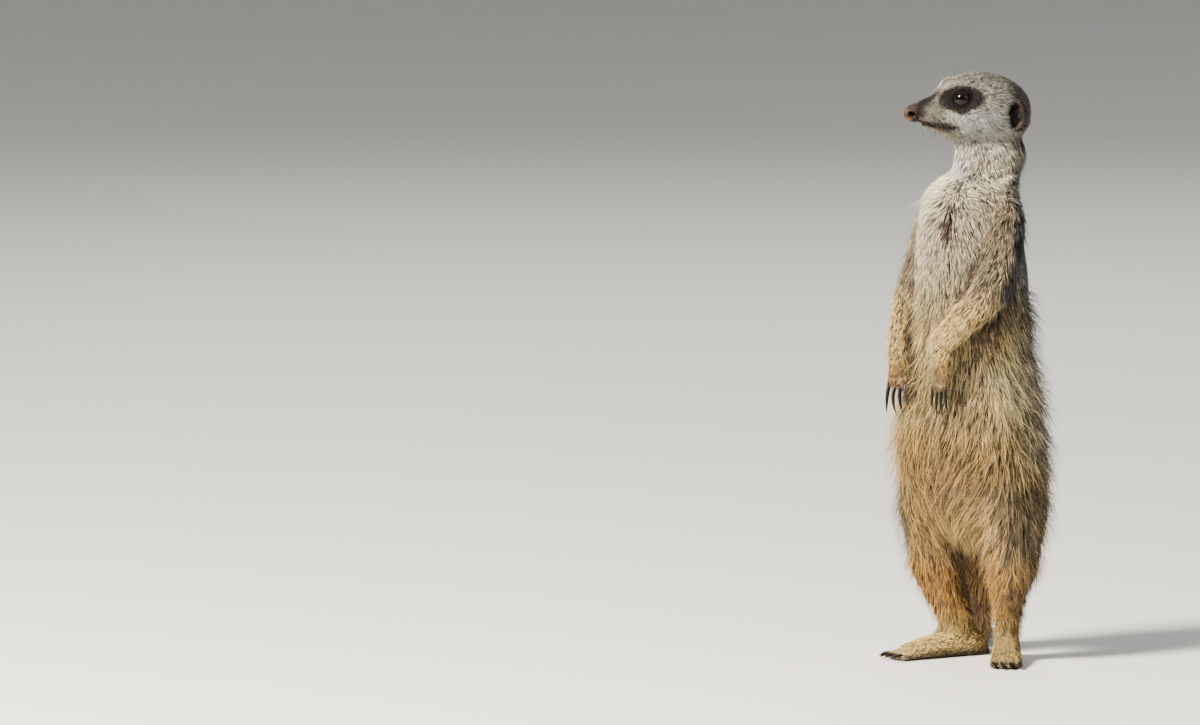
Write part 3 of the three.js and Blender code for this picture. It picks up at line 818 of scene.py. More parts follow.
def markings_and_painted_light(coat):
    """Linear colours of the markings with painted shade and light, the same for the skin and the hair that
    grows there.
    """
    points, part = coat.skin.points, coat.part
    x, _, z = coat.body.T
    wobble = patchy(points, 9, 1)
    colours = coat.region @ COLOUR
    trunk = paint_trunk(colours, coat, wobble)
    colours = paint_limbs(mix(colours, trunk, part("neck", "chest", "belly", "hips")), coat)
    # a painted shadow where the forearms and hands lie against the body
    crease_shadow = 6.75 * part("forearm", "hand") * part("belly", "hips", "chest") ** 2
    colours = painted(
        colours,
        (CREASE_SHADOW, 0.85 * rise(crease_shadow, 0.5, 0.95)),
        (GROIN, fall(coat.normals[:, 1], -0.6, -0.1) * bump(z, 80, 20) * bump(x, 7, 24)),
    )
    head = rise(part("head", "lower_jaw"), 0.15, 0.85)
    colours = mix(paint_fold_shade_and_ridge_light(colours, coat), paint_head(colours, coat.here, wobble), head)
    hands_end = np.where(x > 0, *(box_of(f"hand_{side}")[0][2] / MM for side in SIDES))
    gap, distance, ahead, _ = lids_at(points)
    return linear(painted(
        colours,
        # painted shade on the curled fingers
        (DIGIT_SHADE, 0.45 * part("hand") * fall(z - hands_end, 8, 14)),
        # painted shade in the grooves between the toes and between the fingers
        (DIGIT_GAP_SHADE, 0.85 * between_digits(points)),
        (LIDS, fall(gap, 0.9, 2.4) * (ahead > 0) * (distance < 11)),
    ))


# ---- hair

# painted shade: the skin under the coat is darkened to this share
UNDER_FUR_SHADE = 0.42  # the skin between the hairs, as a share of the hair's colour
SINK = 0.35  # how far a tuft's foot goes under the skin
DARK_SHARE = {"back": 0.58, "front": 0.2}  # dark hairs among the others
UNDER_SHARE = 0.34  # tufts that lie underneath the others
GUARD_SHARE = 0.2  # long thin guard hairs, where the coat is loosest
PALE_SHARE = 0.3
PALEST = 0.92
CLUMP_PULL = 0.8
FLOOR_CLEARANCE = 0.12
PATCH_SIZE = 0.003
PATCH_MARGIN = 0.005
MOST_TRIANGLES = 190_000
ANY_WAY = np.array([0.31, 0.17, 0.07])  # not along the axis of any body part
# Tufts with a ring of three points at the foot, one more in the middle if they bend, and a tip. rings holds
# each ring's width, lock the tufts in a lock, and dark_locks the share of the locks that are dark.
BENT = {
    "faces": np.array([(0, 2, 1), (0, 1, 4), (0, 4, 3), (1, 2, 5), (1, 5, 4), (2, 0, 3), (2, 3, 5),
                       (3, 4, 6), (4, 5, 6), (5, 3, 6)]),
    "patch": np.array([(0, 0), (1, 0), (0.5, 0.2), (0.06, 0.5), (0.94, 0.5), (0.5, 0.66), (0.5, 1)]),
    "along": (0, 0, 0, 0.5, 0.5, 0.5, 1),
    "rings": (1.0, 0.8),
    "lock": 4,
    "tones": (0.74, 1.3),
    "dark_locks": 0.07,
}
STRAIGHT = {
    "faces": np.array([(0, 2, 1), (0, 1, 3), (1, 2, 3), (2, 0, 3)]),
    "patch": np.array([(0, 0), (1, 0), (0.5, 0.3), (0.5, 1)]),
    "along": (0, 0, 0, 1),
    "rings": (1.0,),
    "lock": 6,
    "tones": (0.7, 1.6),
    "dark_locks": 0.26,
}


def flankward(normals):
    """0 on the belly side, rising over the flanks to 1 on the back."""
    return rise(normals[:, 1] + 0.75 * np.abs(normals[:, 0]), 0.12, 0.8)


class Coat:
    """What every vertex of the skin says about the hair that grows from it."""

    def __init__(self, skin, nearest):
        self.skin = skin
        self.labels = nearest(skin.points)
        self.here, self.body = in_head(skin.points), in_body(skin.points)
        self.normals = unit(skin.softened(skin.normals(), 2))
        self.region = shares(skin, self.labels, 40)
        self.colour = markings_and_painted_light(self)
        # painted shade on the skin, deeper where the jaw meets the neck
        border_shade = rise(4 * self.part("head", "lower_jaw") * self.part("neck"), 0.2, 0.8)
        self.skin_colour = self.colour * (UNDER_FUR_SHADE * (1 - 0.7 * border_shade))[:, None]
        self.way = self.swung(lie_of_coat(self))
        size = self.face_scale() * self.nape_scale()
        self.length = (self.region @ LENGTH) * size
        self.width = self.region @ WIDTH
        self.depth = (self.region @ DEPTH) * np.sqrt(size)
        density = np.where(self.is_bare(), 0, self.region @ DENSITY)[skin.tris].mean(1)
        self.tufts = size_of(skin.face_cross()) / 2 / MM**2 * density * 1

    def part(self, *names):
        """How much of the named regions each vertex belongs to."""
        return self.region[:, [REGION_NAMES.index(name) for name in names]].sum(1)

    def swung(self, ways):
        """The lie, swung a little from side to side in patches, as a coat parts into locks."""
        swing = 0.28 * patchy(self.skin.points, 7, 2) + 0.22 * patchy(self.skin.points, 2.5, 3)
        return unit(ways + swing[:, None] * np.cross(self.normals, ways))

    def nape_scale(self):
        """Hair is longer down the nape, where it fills the hollow below the ears."""
        _, ahead, up = self.here.T
        return 1 + fall(ahead, -17, -9) * bump(up, -17, 15)

    def face_scale(self):
        """Hair is shortest on the muzzle and round the eyes, and longest on the cheeks."""
        _, ahead, up = self.here.T
        gap, distance, past_eye, _ = lids_at(self.skin.points)
        size = 1 - 0.5 * rise(ahead, 22, 34) + 0.45 * bump(ahead, -2, 14) * fall(up, -8, 2)
        size = size * (1 - 0.6 * fall(gap, 0.8, 5) * (past_eye > 0) * (distance < 14))
        return 1 + (size - 1) * rise(up, -26, -20)

    def is_bare(self):
        """On the nose pad, in the eyes, along the mouth, and under the soles."""
        _, ahead, up = self.here.T
        gap, distance, past_eye, _ = lids_at(self.skin.points)
        lips = (np.abs(up - mouth_height(ahead)) < 0.35) & (ahead > MOUTH["corner"]) & (ahead < NOSE_FROM)
        face = (up > HEAD_FOOT) & (lips | (ahead > NOSE_FROM + 0.4))
        eye = (gap < 0.9) & (past_eye > 0) & (distance < 10)
        return face | eye | ((self.body[:, 2] < 1.6) & (self.normals[:, 2] < -0.5))


class Roots:
    """Where the tufts of one piece of coat grow, with the coat's values there."""

    def __init__(self, coat, faces):
        weight = coat.tufts[faces]
        self.count = count = int(weight.sum())
        chosen = np.searchsorted(np.cumsum(weight) / weight.sum(), rng.random(count)).clip(0, len(faces) - 1)
        self.corners = coat.skin.tris[faces][chosen]
        u, v = np.sqrt(rng.random(count)), rng.random(count)
        self.share = np.stack([1 - u, u * (1 - v), u * v], 1)
        self.point = self.blend(coat.skin.points)
        self.normal = unit(self.blend(coat.normals))
        way = self.blend(coat.way)
        self.way = unit(way - (way * self.normal).sum(1)[:, None] * self.normal)
        self.colour, self.length, self.width, self.depth = (
            self.blend(values) for values in (coat.colour, coat.length, coat.width, coat.depth)
        )

    def blend(self, values):
        return np.einsum("nk,nk...->n...", self.share, values[self.corners])


class Locks:
    """Which neighbouring tufts lie together as a lock, and which of them lie underneath."""

    def __init__(self, roots, size):
        self.leaders = rng.choice(roots.count, max(1, roots.count // size), replace=False)
        tree = kdtree.KDTree(len(self.leaders))
        for place, leader in enumerate(self.leaders):
            tree.insert(roots.point[leader], place)
        tree.balance()
        self.number = np.array([tree.find(p)[1] for p in roots.point])
        self.under = rng.random(roots.count) < UNDER_SHARE

    def values(self, low, high):
        """One random number for each lock, handed to all its tufts."""
        return rng.uniform(low, high, len(self.leaders))[self.number]

    def drawn(self, points, pull):
        """Points moved towards their leaders' points."""
        return points + pull[:, None] * (points[self.leaders[self.number]] - points)


def hair_colours(roots, locks, kind):
    """Each tuft's colour: whole locks darker or paler, and the tufts underneath darkest as painted shade
    under the top coat.
    """
    n = roots.count
    value = locks.values(*kind["tones"]) * rng.normal(1.0, 0.16, n)
    value = np.where(locks.values(0, 1) < kind["dark_locks"], 0.25 * value, value)
    dark_share = DARK_SHARE["front"] + flankward(roots.normal) * (DARK_SHARE["back"] - DARK_SHARE["front"])
    dark = rng.random(n) < dark_share
    value = np.where(dark, value * rng.uniform(0.1, 0.34, n), value)
    # painted shade on the tufts underneath
    value = np.where(locks.under, value * rng.uniform(0.16, 0.4, n), value)
    pale = (rng.random(n) < PALE_SHARE) & ~dark & ~locks.under
    value = np.where(pale, rng.uniform(1.5, 2.4, n), value)
    value = np.minimum(value, PALEST / roots.colour.max(1))
    warmth = rng.normal(0, 0.06, (n, 1)) * np.array([1.0, 0.1, -1.0])
    return np.clip(roots.colour * value[:, None] * (1 + warmth), 0.003, 0.94)


def grow(roots, locks, kind, loose):
    """The points of every tuft, which tapers and bends down to the body."""
    n, under = roots.count, locks.under
    length = roots.length * rng.uniform(0.72, 1.28, n) * np.where(under, 0.8, 1)
    lift = roots.depth * rng.uniform(0.7, 1.2, n) * np.where(under, 0.4, 1)
    width = roots.width * rng.uniform(0.75, 1.25, n)
    guard = (rng.random(n) < GUARD_SHARE * loose**2) & ~under
    length = np.where(guard, length * rng.uniform(1.3, 2.1, n), length)
    lift = np.where(guard, lift * (1 + loose * rng.uniform(0.5, 2.4, n)), lift)
    width = np.where(guard, width * 0.6, width)
    turn = rng.normal(0, math.radians(8), n) + locks.values(-0.12, 0.12)
    across = np.cross(roots.normal, roots.way)
    way = unit(roots.way * np.cos(turn)[:, None] + across * np.sin(turn)[:, None])
    reach = np.sqrt(np.maximum(length**2 - lift**2, 0.2 * length**2))[:, None] * MM * way
    lift = (lift + SINK)[:, None] * MM * roots.normal
    foot = roots.point - SINK * MM * roots.normal
    pull = CLUMP_PULL * loose * rng.uniform(0.5, 1.1, n) * ~guard
    tip = locks.drawn(foot + reach + lift, pull)
    middle = locks.drawn(foot + 0.46 * reach + 0.66 * lift, 0.35 * pull)
    side = unit(np.cross(roots.normal, tip - foot))
    out = unit(np.cross(tip - foot, side))
    points = []
    for centre, size in zip((foot, middle), kind["rings"]):
        half = (0.5 * size * width * MM)[:, None]
        points += [centre - half * side, centre + half * side, centre + half * 0.9 * out]
    made = np.stack(points + [tip], 1)
    low = made[..., 2] < FLOOR_CLEARANCE * MM
    made[..., 2] = np.where(low, (FLOOR_CLEARANCE + 0.3 * rng.random(low.shape)) * MM, made[..., 2])
    return made


def fitted(values):
    """Values spread over the width of the square that the patches of tufts fill."""
    low, high = values.min(), values.max()
    return PATCH_MARGIN + (values - low) / max(high - low, 1e-9) * (1 - 2 * PATCH_MARGIN - PATCH_SIZE)


def unwrap(points, line):
    """Places round and along a centre line, as u and v from 0 to 1."""
    starts, steps, every = np.array(line[:-1]), np.diff(line, axis=0), np.arange(len(points))
    lengths = size_of(steps)
    share = np.einsum("nki,ki->nk", points[:, None] - starts, steps) / lengths**2
    beside = starts + np.clip(share, 0, 1)[..., None] * steps
    pick = size_of(points[:, None] - beside).argmin(1)
    low, high = np.zeros(len(steps)), np.ones(len(steps))
    low[0], high[-1] = -np.inf, np.inf
    along = (np.cumsum(lengths) + (np.clip(share, low, high) - 1) * lengths)[every, pick]
    first = unit(np.cross(unit(steps), ANY_WAY))[pick]
    second = np.cross(unit(steps)[pick], first)
    offset = points - starts[pick]
    angle = np.arctan2((offset * second).sum(1), (offset * first).sum(1))
    return np.stack([fitted(angle), fitted(along)], 1)


def unwrap_ears(roots):
    """Round each ear: left and right, and outside and inside, each have a quarter of the square."""
    offsets = [roots.point - centre_of(f"ear_{side}") for side in SIDES]
    left = size_of(offsets[0]) < size_of(offsets[1])
    made = np.empty((roots.count, 2))
    for column, (offset, mine) in enumerate(zip(offsets, (left, ~left))):
        outside = (roots.normal * offset).sum(1) > 0
        aside, ahead, up = HEAD_AXES @ offset.T
        for row, chosen in enumerate((mine & outside, mine & ~outside)):
            angle = np.arctan2(ahead[chosen], aside[chosen])
            quarter = 0.49 * np.stack([fitted(angle), fitted(up[chosen])], 1)
            made[chosen] = quarter + [0.5 * column, 0.5 * row]
    return made


TAIL = "tail_base tail_middle tail_tip"
# name, slot, nodes, kind of tuft, how loose it lies, and the nodes of its centre line; a * stands for a side
BODY_COATS = [
    ("coat_head", "coat_face", "head lower_jaw", STRAIGHT, 0.3, ""),
    ("coat_ears", "coat_dark", "ear_left ear_right", STRAIGHT, 0.3, ""),
    ("coat_neck", "coat_back", "neck", BENT, 0.3, "chest neck head"),
    ("coat_chest", "coat_back", "chest", BENT, 0.35, "hips chest neck"),
    ("coat_belly", "coat_belly", "belly", BENT, 1.0, "hips belly chest"),
    ("coat_hips", "coat_back", "hips", BENT, 1.0, "hips belly"),
    ("coat_tail", "coat_tail", TAIL, BENT, 0.8, TAIL),
]
LIMB_COATS = [
    ("coat_arm_*", "coat_limb", "upper_arm_* forearm_*", BENT, 0.6, "upper_arm_* forearm_* hand_*"),
    ("coat_hand_*", "coat_limb", "hand_*", STRAIGHT, 0.2, "forearm_* hand_*"),
    ("coat_leg_*", "coat_limb", "thigh_* shank_*", BENT, 0.9, "thigh_* shank_*"),
    ("coat_foot_*", "coat_limb", "foot_*", STRAIGHT, 0.2, "shank_* foot_*"),
]
HEAD_LINE = from_head([(0, -25, -2), (0, 0, -2), (0, 45, -4)])


def coat_rows():
    """Every row, with the names of its nodes as lists."""
    on_sides = [(row, side) for side in SIDES for row in LIMB_COATS]
    for (name, slot, nodes, kind, loose, line), side in [(row, "") for row in BODY_COATS] + on_sides:
        name, nodes, line = (text.replace("*", side) for text in (name, nodes, line))
        yield name, slot, nodes.split(), kind, loose, line.split()


def coat_piece(name, slot, coat, faces, kind, loose, line, material):
    """One piece of coat over the given faces of the skin."""
    roots = Roots(coat, faces)
    locks = Locks(roots, kind["lock"])
    points = grow(roots, locks, kind, loose)
    count, per_tuft, _ = points.shape
    tris = (kind["faces"] + per_tuft * np.arange(count)[:, None, None]).reshape(-1, 3)
    colours = np.repeat(hair_colours(roots, locks, kind), per_tuft, axis=0)
    corner = unwrap_ears(roots) if slot == "coat_dark" else unwrap(roots.point, line)
    uvs = (corner[:, None] + PATCH_SIZE * kind["patch"]).reshape(-1, 2)
    along = np.tile(kind["along"], count)
    add_piece(name, points.reshape(-1, 3), tris, material, slot, colours=colours, uvs=uvs, along=along)


def make_coat(coat, material):
    """Every piece of coat. A piece with too many triangles is split in turn round the body."""
    owner = coat.labels[coat.skin.tris[:, 0]]
    middle = coat.body[coat.skin.tris].mean(1)
    angle = np.arctan2(middle[:, 0], -middle[:, 1])
    for name, slot, nodes, kind, loose, line_nodes in coat_rows():
        line = [centre_of(node) for node in line_nodes] or HEAD_LINE
        faces = np.flatnonzero(np.isin(owner, [FLESH.index(node) for node in nodes]))
        faces = faces[np.argsort(angle[faces])]
        sums = np.cumsum(coat.tufts[faces])
        pieces = math.ceil(sums[-1] * len(kind["faces"]) / MOST_TRIANGLES)
        for number in range(pieces):
            low, high = sums[-1] * number / pieces, sums[-1] * (number + 1) / pieces
            label = name if pieces == 1 else f"{name}_{number + 1}"
            mine = faces[(sums > low) & (sums <= high)]
            coat_piece(label, slot, coat, mine, kind, loose, line, material)


# ---- materials


class Shader:
    """A material's nodes, built in short calls."""

    def __init__(self, name):
        self.material = bpy.data.materials.new(name)
        self.material.use_nodes = True
        self.tree = self.material.node_tree
        self.principled = self.tree.nodes["Principled BSDF"]
        self.place = self.node("ShaderNodeTexCoord").outputs["Object"]

    def node(self, kind, values=(), links=(), **settings):
        made = self.tree.nodes.new(kind)
        for key, value in settings.items():
            setattr(made, key, value)
        for key, value in dict(values).items():
            made.inputs[key].default_value = value
        for key, source in dict(links).items():
            self.tree.links.new(source, made.inputs[key])
        return made

    def attribute(self, name, output="Fac"):
        return self.node("ShaderNodeAttribute", attribute_name=name).outputs[output]

    def noise(self, scale, detail=4.0, **values):
        """Noise in object space; the scale is per metre."""
        values = {"Scale": scale, "Detail": detail, **values}
        return self.node("ShaderNodeTexNoise", values, {"Vector": self.place}).outputs["Fac"]

    def ramp(self, source, *stops):
        """A colour ramp; its stops are a place with a grey or a linear colour."""
        made = self.node("ShaderNodeValToRGB", links={"Fac": source})
        band = made.color_ramp
        while len(band.elements) < len(stops):
            band.elements.new(0.5)
        for element, (place, colour) in zip(band.elements, stops):
            element.position = place
            element.color = (*np.broadcast_to(colour, 3), 1)
        return made.outputs["Color"]

    def product(self, first, *others):
        for other in others:
            mixer = self.node("ShaderNodeMix", {"Factor": 1.0}, data_type="RGBA", blend_type="MULTIPLY")
            self.tree.links.new(first, mixer.inputs["A"])
            self.tree.links.new(other, mixer.inputs["B"])
            first = mixer.outputs["Result"]
        return first

    def bump(self, height, strength, distance):
        """Bump; the distance is in metres."""
        made = self.node("ShaderNodeBump", {"Strength": strength, "Distance": distance}, {"Height": height})
        self.tree.links.new(made.outputs["Normal"], self.principled.inputs["Normal"])

    def finish(self, colour, roughness, **values):
        """The material, with these sources on its sockets, and values for what is even all over."""
        self.tree.links.new(colour, self.principled.inputs["Base Color"])
        if np.isscalar(roughness):
            values["Roughness"] = roughness
        else:
            self.tree.links.new(roughness, self.principled.inputs["Roughness"])
        for key, value in values.items():
            self.principled.inputs[key.replace("_", " ")].default_value = value
        return self.material


def fur_material():
    """Hair: dark at the foot, the marking's colour in the middle and above."""
    shader = Shader("fur")
    shade = shader.ramp(shader.attribute("along"), (0.0, 0.12), (0.35, 0.42), (0.7, 0.95), (1.0, 1.0))
    mottle = shader.ramp(shader.noise(420, 3), (0.3, 0.86), (0.7, 1.0))
    colour = shader.product(shader.attribute("fur", "Color"), shade, mottle)
    roughness = shader.ramp(shader.noise(900, 2), (0.3, 0.5), (0.7, 0.68))
    return shader.finish(colour, roughness, Specular_IOR_Level=0.28, Sheen_Weight=0.12, Sheen_Roughness=0.4)


def skin_material():
    """The skin between the hairs: the marking's colour darkened as painted shade under the coat, with the
    short under-fur as bump.
    """
    shader = Shader("skin")
    grain = shader.noise(2600, 3, Roughness=0.65)
    shader.bump(grain, 0.5, 0.0004)
    colour = shader.product(shader.attribute("fur", "Color"), shader.ramp(grain, (0.32, 0.55), (0.68, 1.0)))
    return shader.finish(colour, shader.ramp(grain, (0.3, 0.62), (0.7, 0.85)), Specular_IOR_Level=0.1)


def nose_material():
    """Bare leathery skin with fine pebbling."""
    shader = Shader("nose")
    cells = shader.node("ShaderNodeTexVoronoi", {"Scale": 2600}, {"Vector": shader.place})
    pebbles = cells.outputs["Distance"]
    shader.bump(shader.ramp(pebbles, (0.0, 1.0), (0.7, 0.0)), 0.35, 0.00012)
    colour = shader.product(shader.attribute("fur", "Color"), shader.ramp(pebbles, (0.0, 1.0), (0.6, 0.72)))
    roughness = shader.ramp(shader.noise(1200), (0.3, 0.42), (0.7, 0.58))
    return shader.finish(colour, roughness, Specular_IOR_Level=0.12)


def eye_material():
    """Pupil, dark brown iris with radial flecks, and a black rim under a wet cornea."""
    shader = Shader("eye")
    rings = shader.ramp(shader.attribute("gaze"), *((place, linear(colour)) for place, colour in IRIS))
    colour = shader.product(rings, shader.ramp(shader.noise(1500, 5), (0.3, 0.6), (0.7, 1.0)))
    roughness = shader.ramp(shader.noise(2000, 2), (0.4, 0.04), (0.6, 0.06))
    return shader.finish(colour, roughness, Specular_IOR_Level=0.16, Coat_Weight=0.14, Coat_Roughness=0.02)


def claw_material():
    """Dark horn with fine streaks, paler where it wears at the tip."""
    shader = Shader("claw")
    tones = ((0.0, linear((26, 20, 17))), (0.6, linear((17, 13, 11))), (1.0, linear((62, 45, 34))))
    along = shader.node("ShaderNodeMapping", {"Scale": (1.0, 1.0, 0.15)}, {"Vector": shader.place})
    shader.place = along.outputs["Vector"]
    streaks = shader.noise(3000, 2)
    shader.bump(streaks, 0.2, 0.0001)
    colour = shader.product(
        shader.ramp(shader.attribute("along"), *tones), shader.ramp(streaks, (0.35, 0.6), (0.65, 1.0))
    )
    return shader.finish(colour, shader.ramp(streaks, (0.3, 0.28), (0.7, 0.42)), Specular_IOR_Level=0.22)


def whisker_material():
    """Dark at the root and pale at the tip."""
    shader = Shader("whisker")
    tones = ((0.0, linear((24, 20, 18))), (0.7, linear((70, 60, 52))), (1.0, linear((150, 138, 120))))
    return shader.finish(shader.ramp(shader.attribute("along"), *tones), 0.4)


# ---- eyes, nose, claws, whiskers

# angle from the middle of the gaze, as a share of a right angle, and sRGB colour
IRIS = [
    (0.0, (4, 4, 5)),
    (0.27, (4, 4, 5)),
    (0.33, (15, 10, 7)),
    (0.46, (20, 12, 8)),
    (0.55, (9, 7, 6)),
    (0.62, (8, 7, 7)),
    (1.0, (12, 10, 10)),
]
EYEBALL = {"rows": 40, "inset": 0.05, "cornea": 0.35, "cornea_edge": 0.72}
# ahead, top, bottom, half-width
NOSE_ROWS = [
    (37.4, 2.2, -7.6, 4.6),
    (38.6, 2.5, -8.2, 5.3),
    (40.4, 2.0, -8.3, 5.4),
    (42.4, 1.1, -8.0, 4.9),
    (44.0, 0.0, -7.2, 4.1),
    (45.0, -1.2, -6.2, 3.0),
    (45.4, -2.4, -5.0, 1.4),
]
NOSE_RINGS, NOSE_SIDES = 56, 88
NOSE_DENTS = np.array([(0, 0, 0), (0, 0.1, 0)])  # how far in the middles of its back and of its tip lie
NOSTRIL = {"ahead": 42.0, "up": -3.7, "side": 1.6, "deep": 3.2, "rim": 0.3, "cleft": 0.45}
NOSE_TOP = (42, 33, 27)
NOSE_LOW = (120, 74, 46)
# painted highlight for the front of the pad
NOSE_FRONT_HIGHLIGHT = (84, 67, 52)
# painted shade for the nostrils and the cleft
NOSTRIL_SHADE = (9, 6, 5)
CLAW_RINGS, CLAW_SIDES = 14, 12
CLAW_SLIM = {"foot": 0.9, "hand": 0.98}  # its root's radius as a share of the CAD claw's
CLAW_FLAT = 0.72
# Rows of whiskers: first and last root (ahead, up), their number, length, and direction (left, ahead, up)
WHISKERS = [
    ((34, -5.5), (28, -3.0), 5, 19, (0.9, 0.15, -0.15)),
    ((35, -7.2), (27, -6.2), 6, 22, (0.9, 0.05, -0.4)),
    ((30, -12.6), (22, -14.2), 5, 13, (0.45, 0.35, -1.0)),
    ((21, 12.5), (15, 15.0), 4, 17, (0.45, 0.35, 1.0)),
    ((3, -6.0), (0, -8.0), 2, 12, (0.9, -0.5, -0.1)),
]
WHISKER_RINGS, WHISKER_SIDES = 9, 4
WHISKER_RADIUS = 0.105
WHISKER_PATCH = 0.02


def eye_pieces():
    """Eyeballs whose rings run round their gaze, with a slightly raised cornea."""
    material = eye_material()
    points, tris = ball(EYEBALL["rows"])
    cosine = points[:, 2]
    raised = EYEBALL["cornea"] * rise(cosine, EYEBALL["cornea_edge"], 1.0) - EYEBALL["inset"]
    for side in SIDES:
        turn = np.array(Vector(UP).rotation_difference(Vector(eye_axes(side)[0])).to_matrix())
        placed = EYES[side] + (points * (EYE_RADIUS + MM * raised)[:, None]) @ turn.T
        angle = np.arccos(np.clip(cosine, -1, 1)) / math.pi * 2
        add_piece(f"eyeball_{side}", placed, tris, material, "eye", [f"eye_{side}"], gaze=angle)


def smooth_rows(table, count):
    """Rows at even steps along a table, every number on a Catmull-Rom curve."""
    rows = np.array(table, float)
    at = np.linspace(0, len(rows) - 1, count)
    i = np.minimum(at.astype(int), len(rows) - 2)
    t = (at - i)[:, None]
    a, b, c, d = (rows[np.clip(i + k, 0, len(rows) - 1)] for k in (-1, 0, 1, 2))
    return b + t / 2 * (c - a + t * (2 * a - 5 * b + 4 * c - d + t * (3 * b - a - 3 * c + d)))


def nose_piece():
    """The bare pad: dark above, orange below, with comma-shaped nostrils with raised rims, and a cleft."""
    cos, sin = circle(NOSE_SIDES)
    along, top, bottom, wide = smooth_rows(NOSE_ROWS, NOSE_RINGS).T[..., None]
    side = wide * np.sign(cos) * np.abs(cos) ** 0.9
    height = (top + bottom) / 2 + (top - bottom) / 2 * sin
    rings = np.stack(np.broadcast_arrays(side, along, height), -1)
    here, tris = loft(rings, rings[[0, -1]].mean(1) - NOSE_DENTS)
    pad = Surface(from_head(here), tris)
    side, ahead, up = np.abs(here[:, 0]), here[:, 1] - NOSTRIL["ahead"], here[:, 2] - NOSTRIL["up"]
    off_middle = side > NOSTRIL["side"]
    hole = fall(np.hypot(ahead / 2.1, (up - 0.2 * ahead) / 1.5), 0.7, 1.15)
    slit = fall(np.hypot((ahead + 2.0) / 1.7, (up + 0.9 - 0.45 * (ahead + 2.0)) / 0.42), 0.5, 1.1)
    opening = np.maximum(hole, 0.75 * slit) * off_middle
    rim = bump(np.hypot(ahead / 2.6, (up - 0.3) / 2.1), 0.85, 0.5) * off_middle
    cleft = bump(side, 0, 0.45) * fall(here[:, 2], -4.0, -2.6)
    pad.push(NOSTRIL["rim"] * rim - NOSTRIL["deep"] * opening - NOSTRIL["cleft"] * cleft)
    colours = painted(
        np.tile(np.array(NOSE_TOP, float), (len(here), 1)),
        (NOSE_LOW, 0.9 * fall(here[:, 2], -6.4, -4.8) * rise(here[:, 1], 41, 43)),
        # painted highlight on the front of the pad
        (NOSE_FRONT_HIGHLIGHT, 0.7 * rise(here[:, 1], 42.8, 44.6) * rise(here[:, 2], -4.5, -3)),
        # painted shade in the nostrils and the cleft
        (NOSTRIL_SHADE, np.maximum(opening, 0.7 * cleft)),
    )
    material = nose_material()
    add_piece("nose_pad", pad.points, pad.tris, material, "nose_pad", ["nose"], colours=linear(colours))


def bezier(a, b, c, t):
    return np.outer((1 - t) ** 2, a) + np.outer(2 * t * (1 - t), b) + np.outer(t**2, c)


def tapered(centres, radii, side, sides, flat=1.0):
    """Points and triangles of a round solid along a path; flat narrows it along side."""
    ahead = unit(np.gradient(centres, axis=0))
    across = unit(side - (ahead @ side)[:, None] * ahead)
    cos, sin = (part[:, None] for part in circle(sides))
    ring = flat * cos * across[:, None] + sin * np.cross(ahead, across)[:, None]
    return loft(centres[:, None] + radii[:, None, None] * ring)


def claw_mesh(node, hook, slim):
    """A curved, pointed claw that is narrower across than deep, in the place of one CAD claw."""
    points = node_surface(node).points
    middle = points.mean(0)
    axis = np.linalg.svd(points - middle)[2][0]
    limb = centre_of(node.removeprefix("claw_").rsplit("_", 1)[0])
    axis = axis * np.sign((middle - limb) @ axis)
    at = (points - middle) @ axis
    share = (at - at.min()) / (at.max() - at.min())
    root, tip = points[share < 0.2].mean(0), points[share > 0.8].mean(0)
    bend = points[(share > 0.3) & (share < 0.7)].mean(0)
    radius = slim * size_of(points[share < 0.2] - root).max()
    tip = tip + rng.normal(0, 0.45 * MM, 3) * [1, 1, 0]
    t = np.linspace(0, 1, CLAW_RINGS)
    bow = rng.uniform(0.5, 1.1) * MM * hook
    centres = bezier(root, 2 * bend - (root + tip) / 2 - bow, tip + bow, t)
    centres = np.concatenate([[root - 1.8 * MM * axis], centres])
    radii = radius * np.concatenate([[0.8], np.maximum((1 - t**1.7) ** 0.8, 0.03)])
    made, tris = tapered(centres, radii, np.cross(axis, hook), CLAW_SIDES, CLAW_FLAT)
    made[:, 2] = np.maximum(made[:, 2], FLOOR_CLEARANCE * MM)
    return made, tris, np.concatenate([np.repeat([0, *t], CLAW_SIDES), [0, 1]])


def claw_pieces():
    material = claw_material()
    for limb, side in LIMB_ENDS:
        hook = -UP if limb == "foot" else -unit(centre_of(f"hand_{side}") * [1, 1, 0] - AXIS)
        nodes = claws_of(limb, side)
        parts = [claw_mesh(node, hook, CLAW_SLIM[limb]) for node in nodes]
        points, tris = stacked([part[:2] for part in parts])
        along = np.concatenate([part[2] for part in parts])
        add_piece(f"claws_{limb}_{side}", points, tris, material, "claw", nodes, along=along)


def whisker_roots(skin):
    """The row, the side of the face, and the root a little under the skin, of each whisker."""
    tree = BVHTree.FromPolygons(skin.points.tolist(), skin.tris.tolist())
    for row in WHISKERS:
        first, last, number = np.array(row[0]), np.array(row[1]), row[2]
        for step in np.linspace(0, 1, number):
            for out in (1, -1):
                ahead, up = first + step * (last - first)
                start = from_head((out * 60, ahead + rng.normal(0, 0.5), up + rng.normal(0, 0.4)))
                hit = tree.ray_cast(Vector(start), Vector(-out * HEAD_LEFT))[0]
                if hit is not None:
                    yield row, out, np.array(hit) - out * 0.3 * MM * HEAD_LEFT


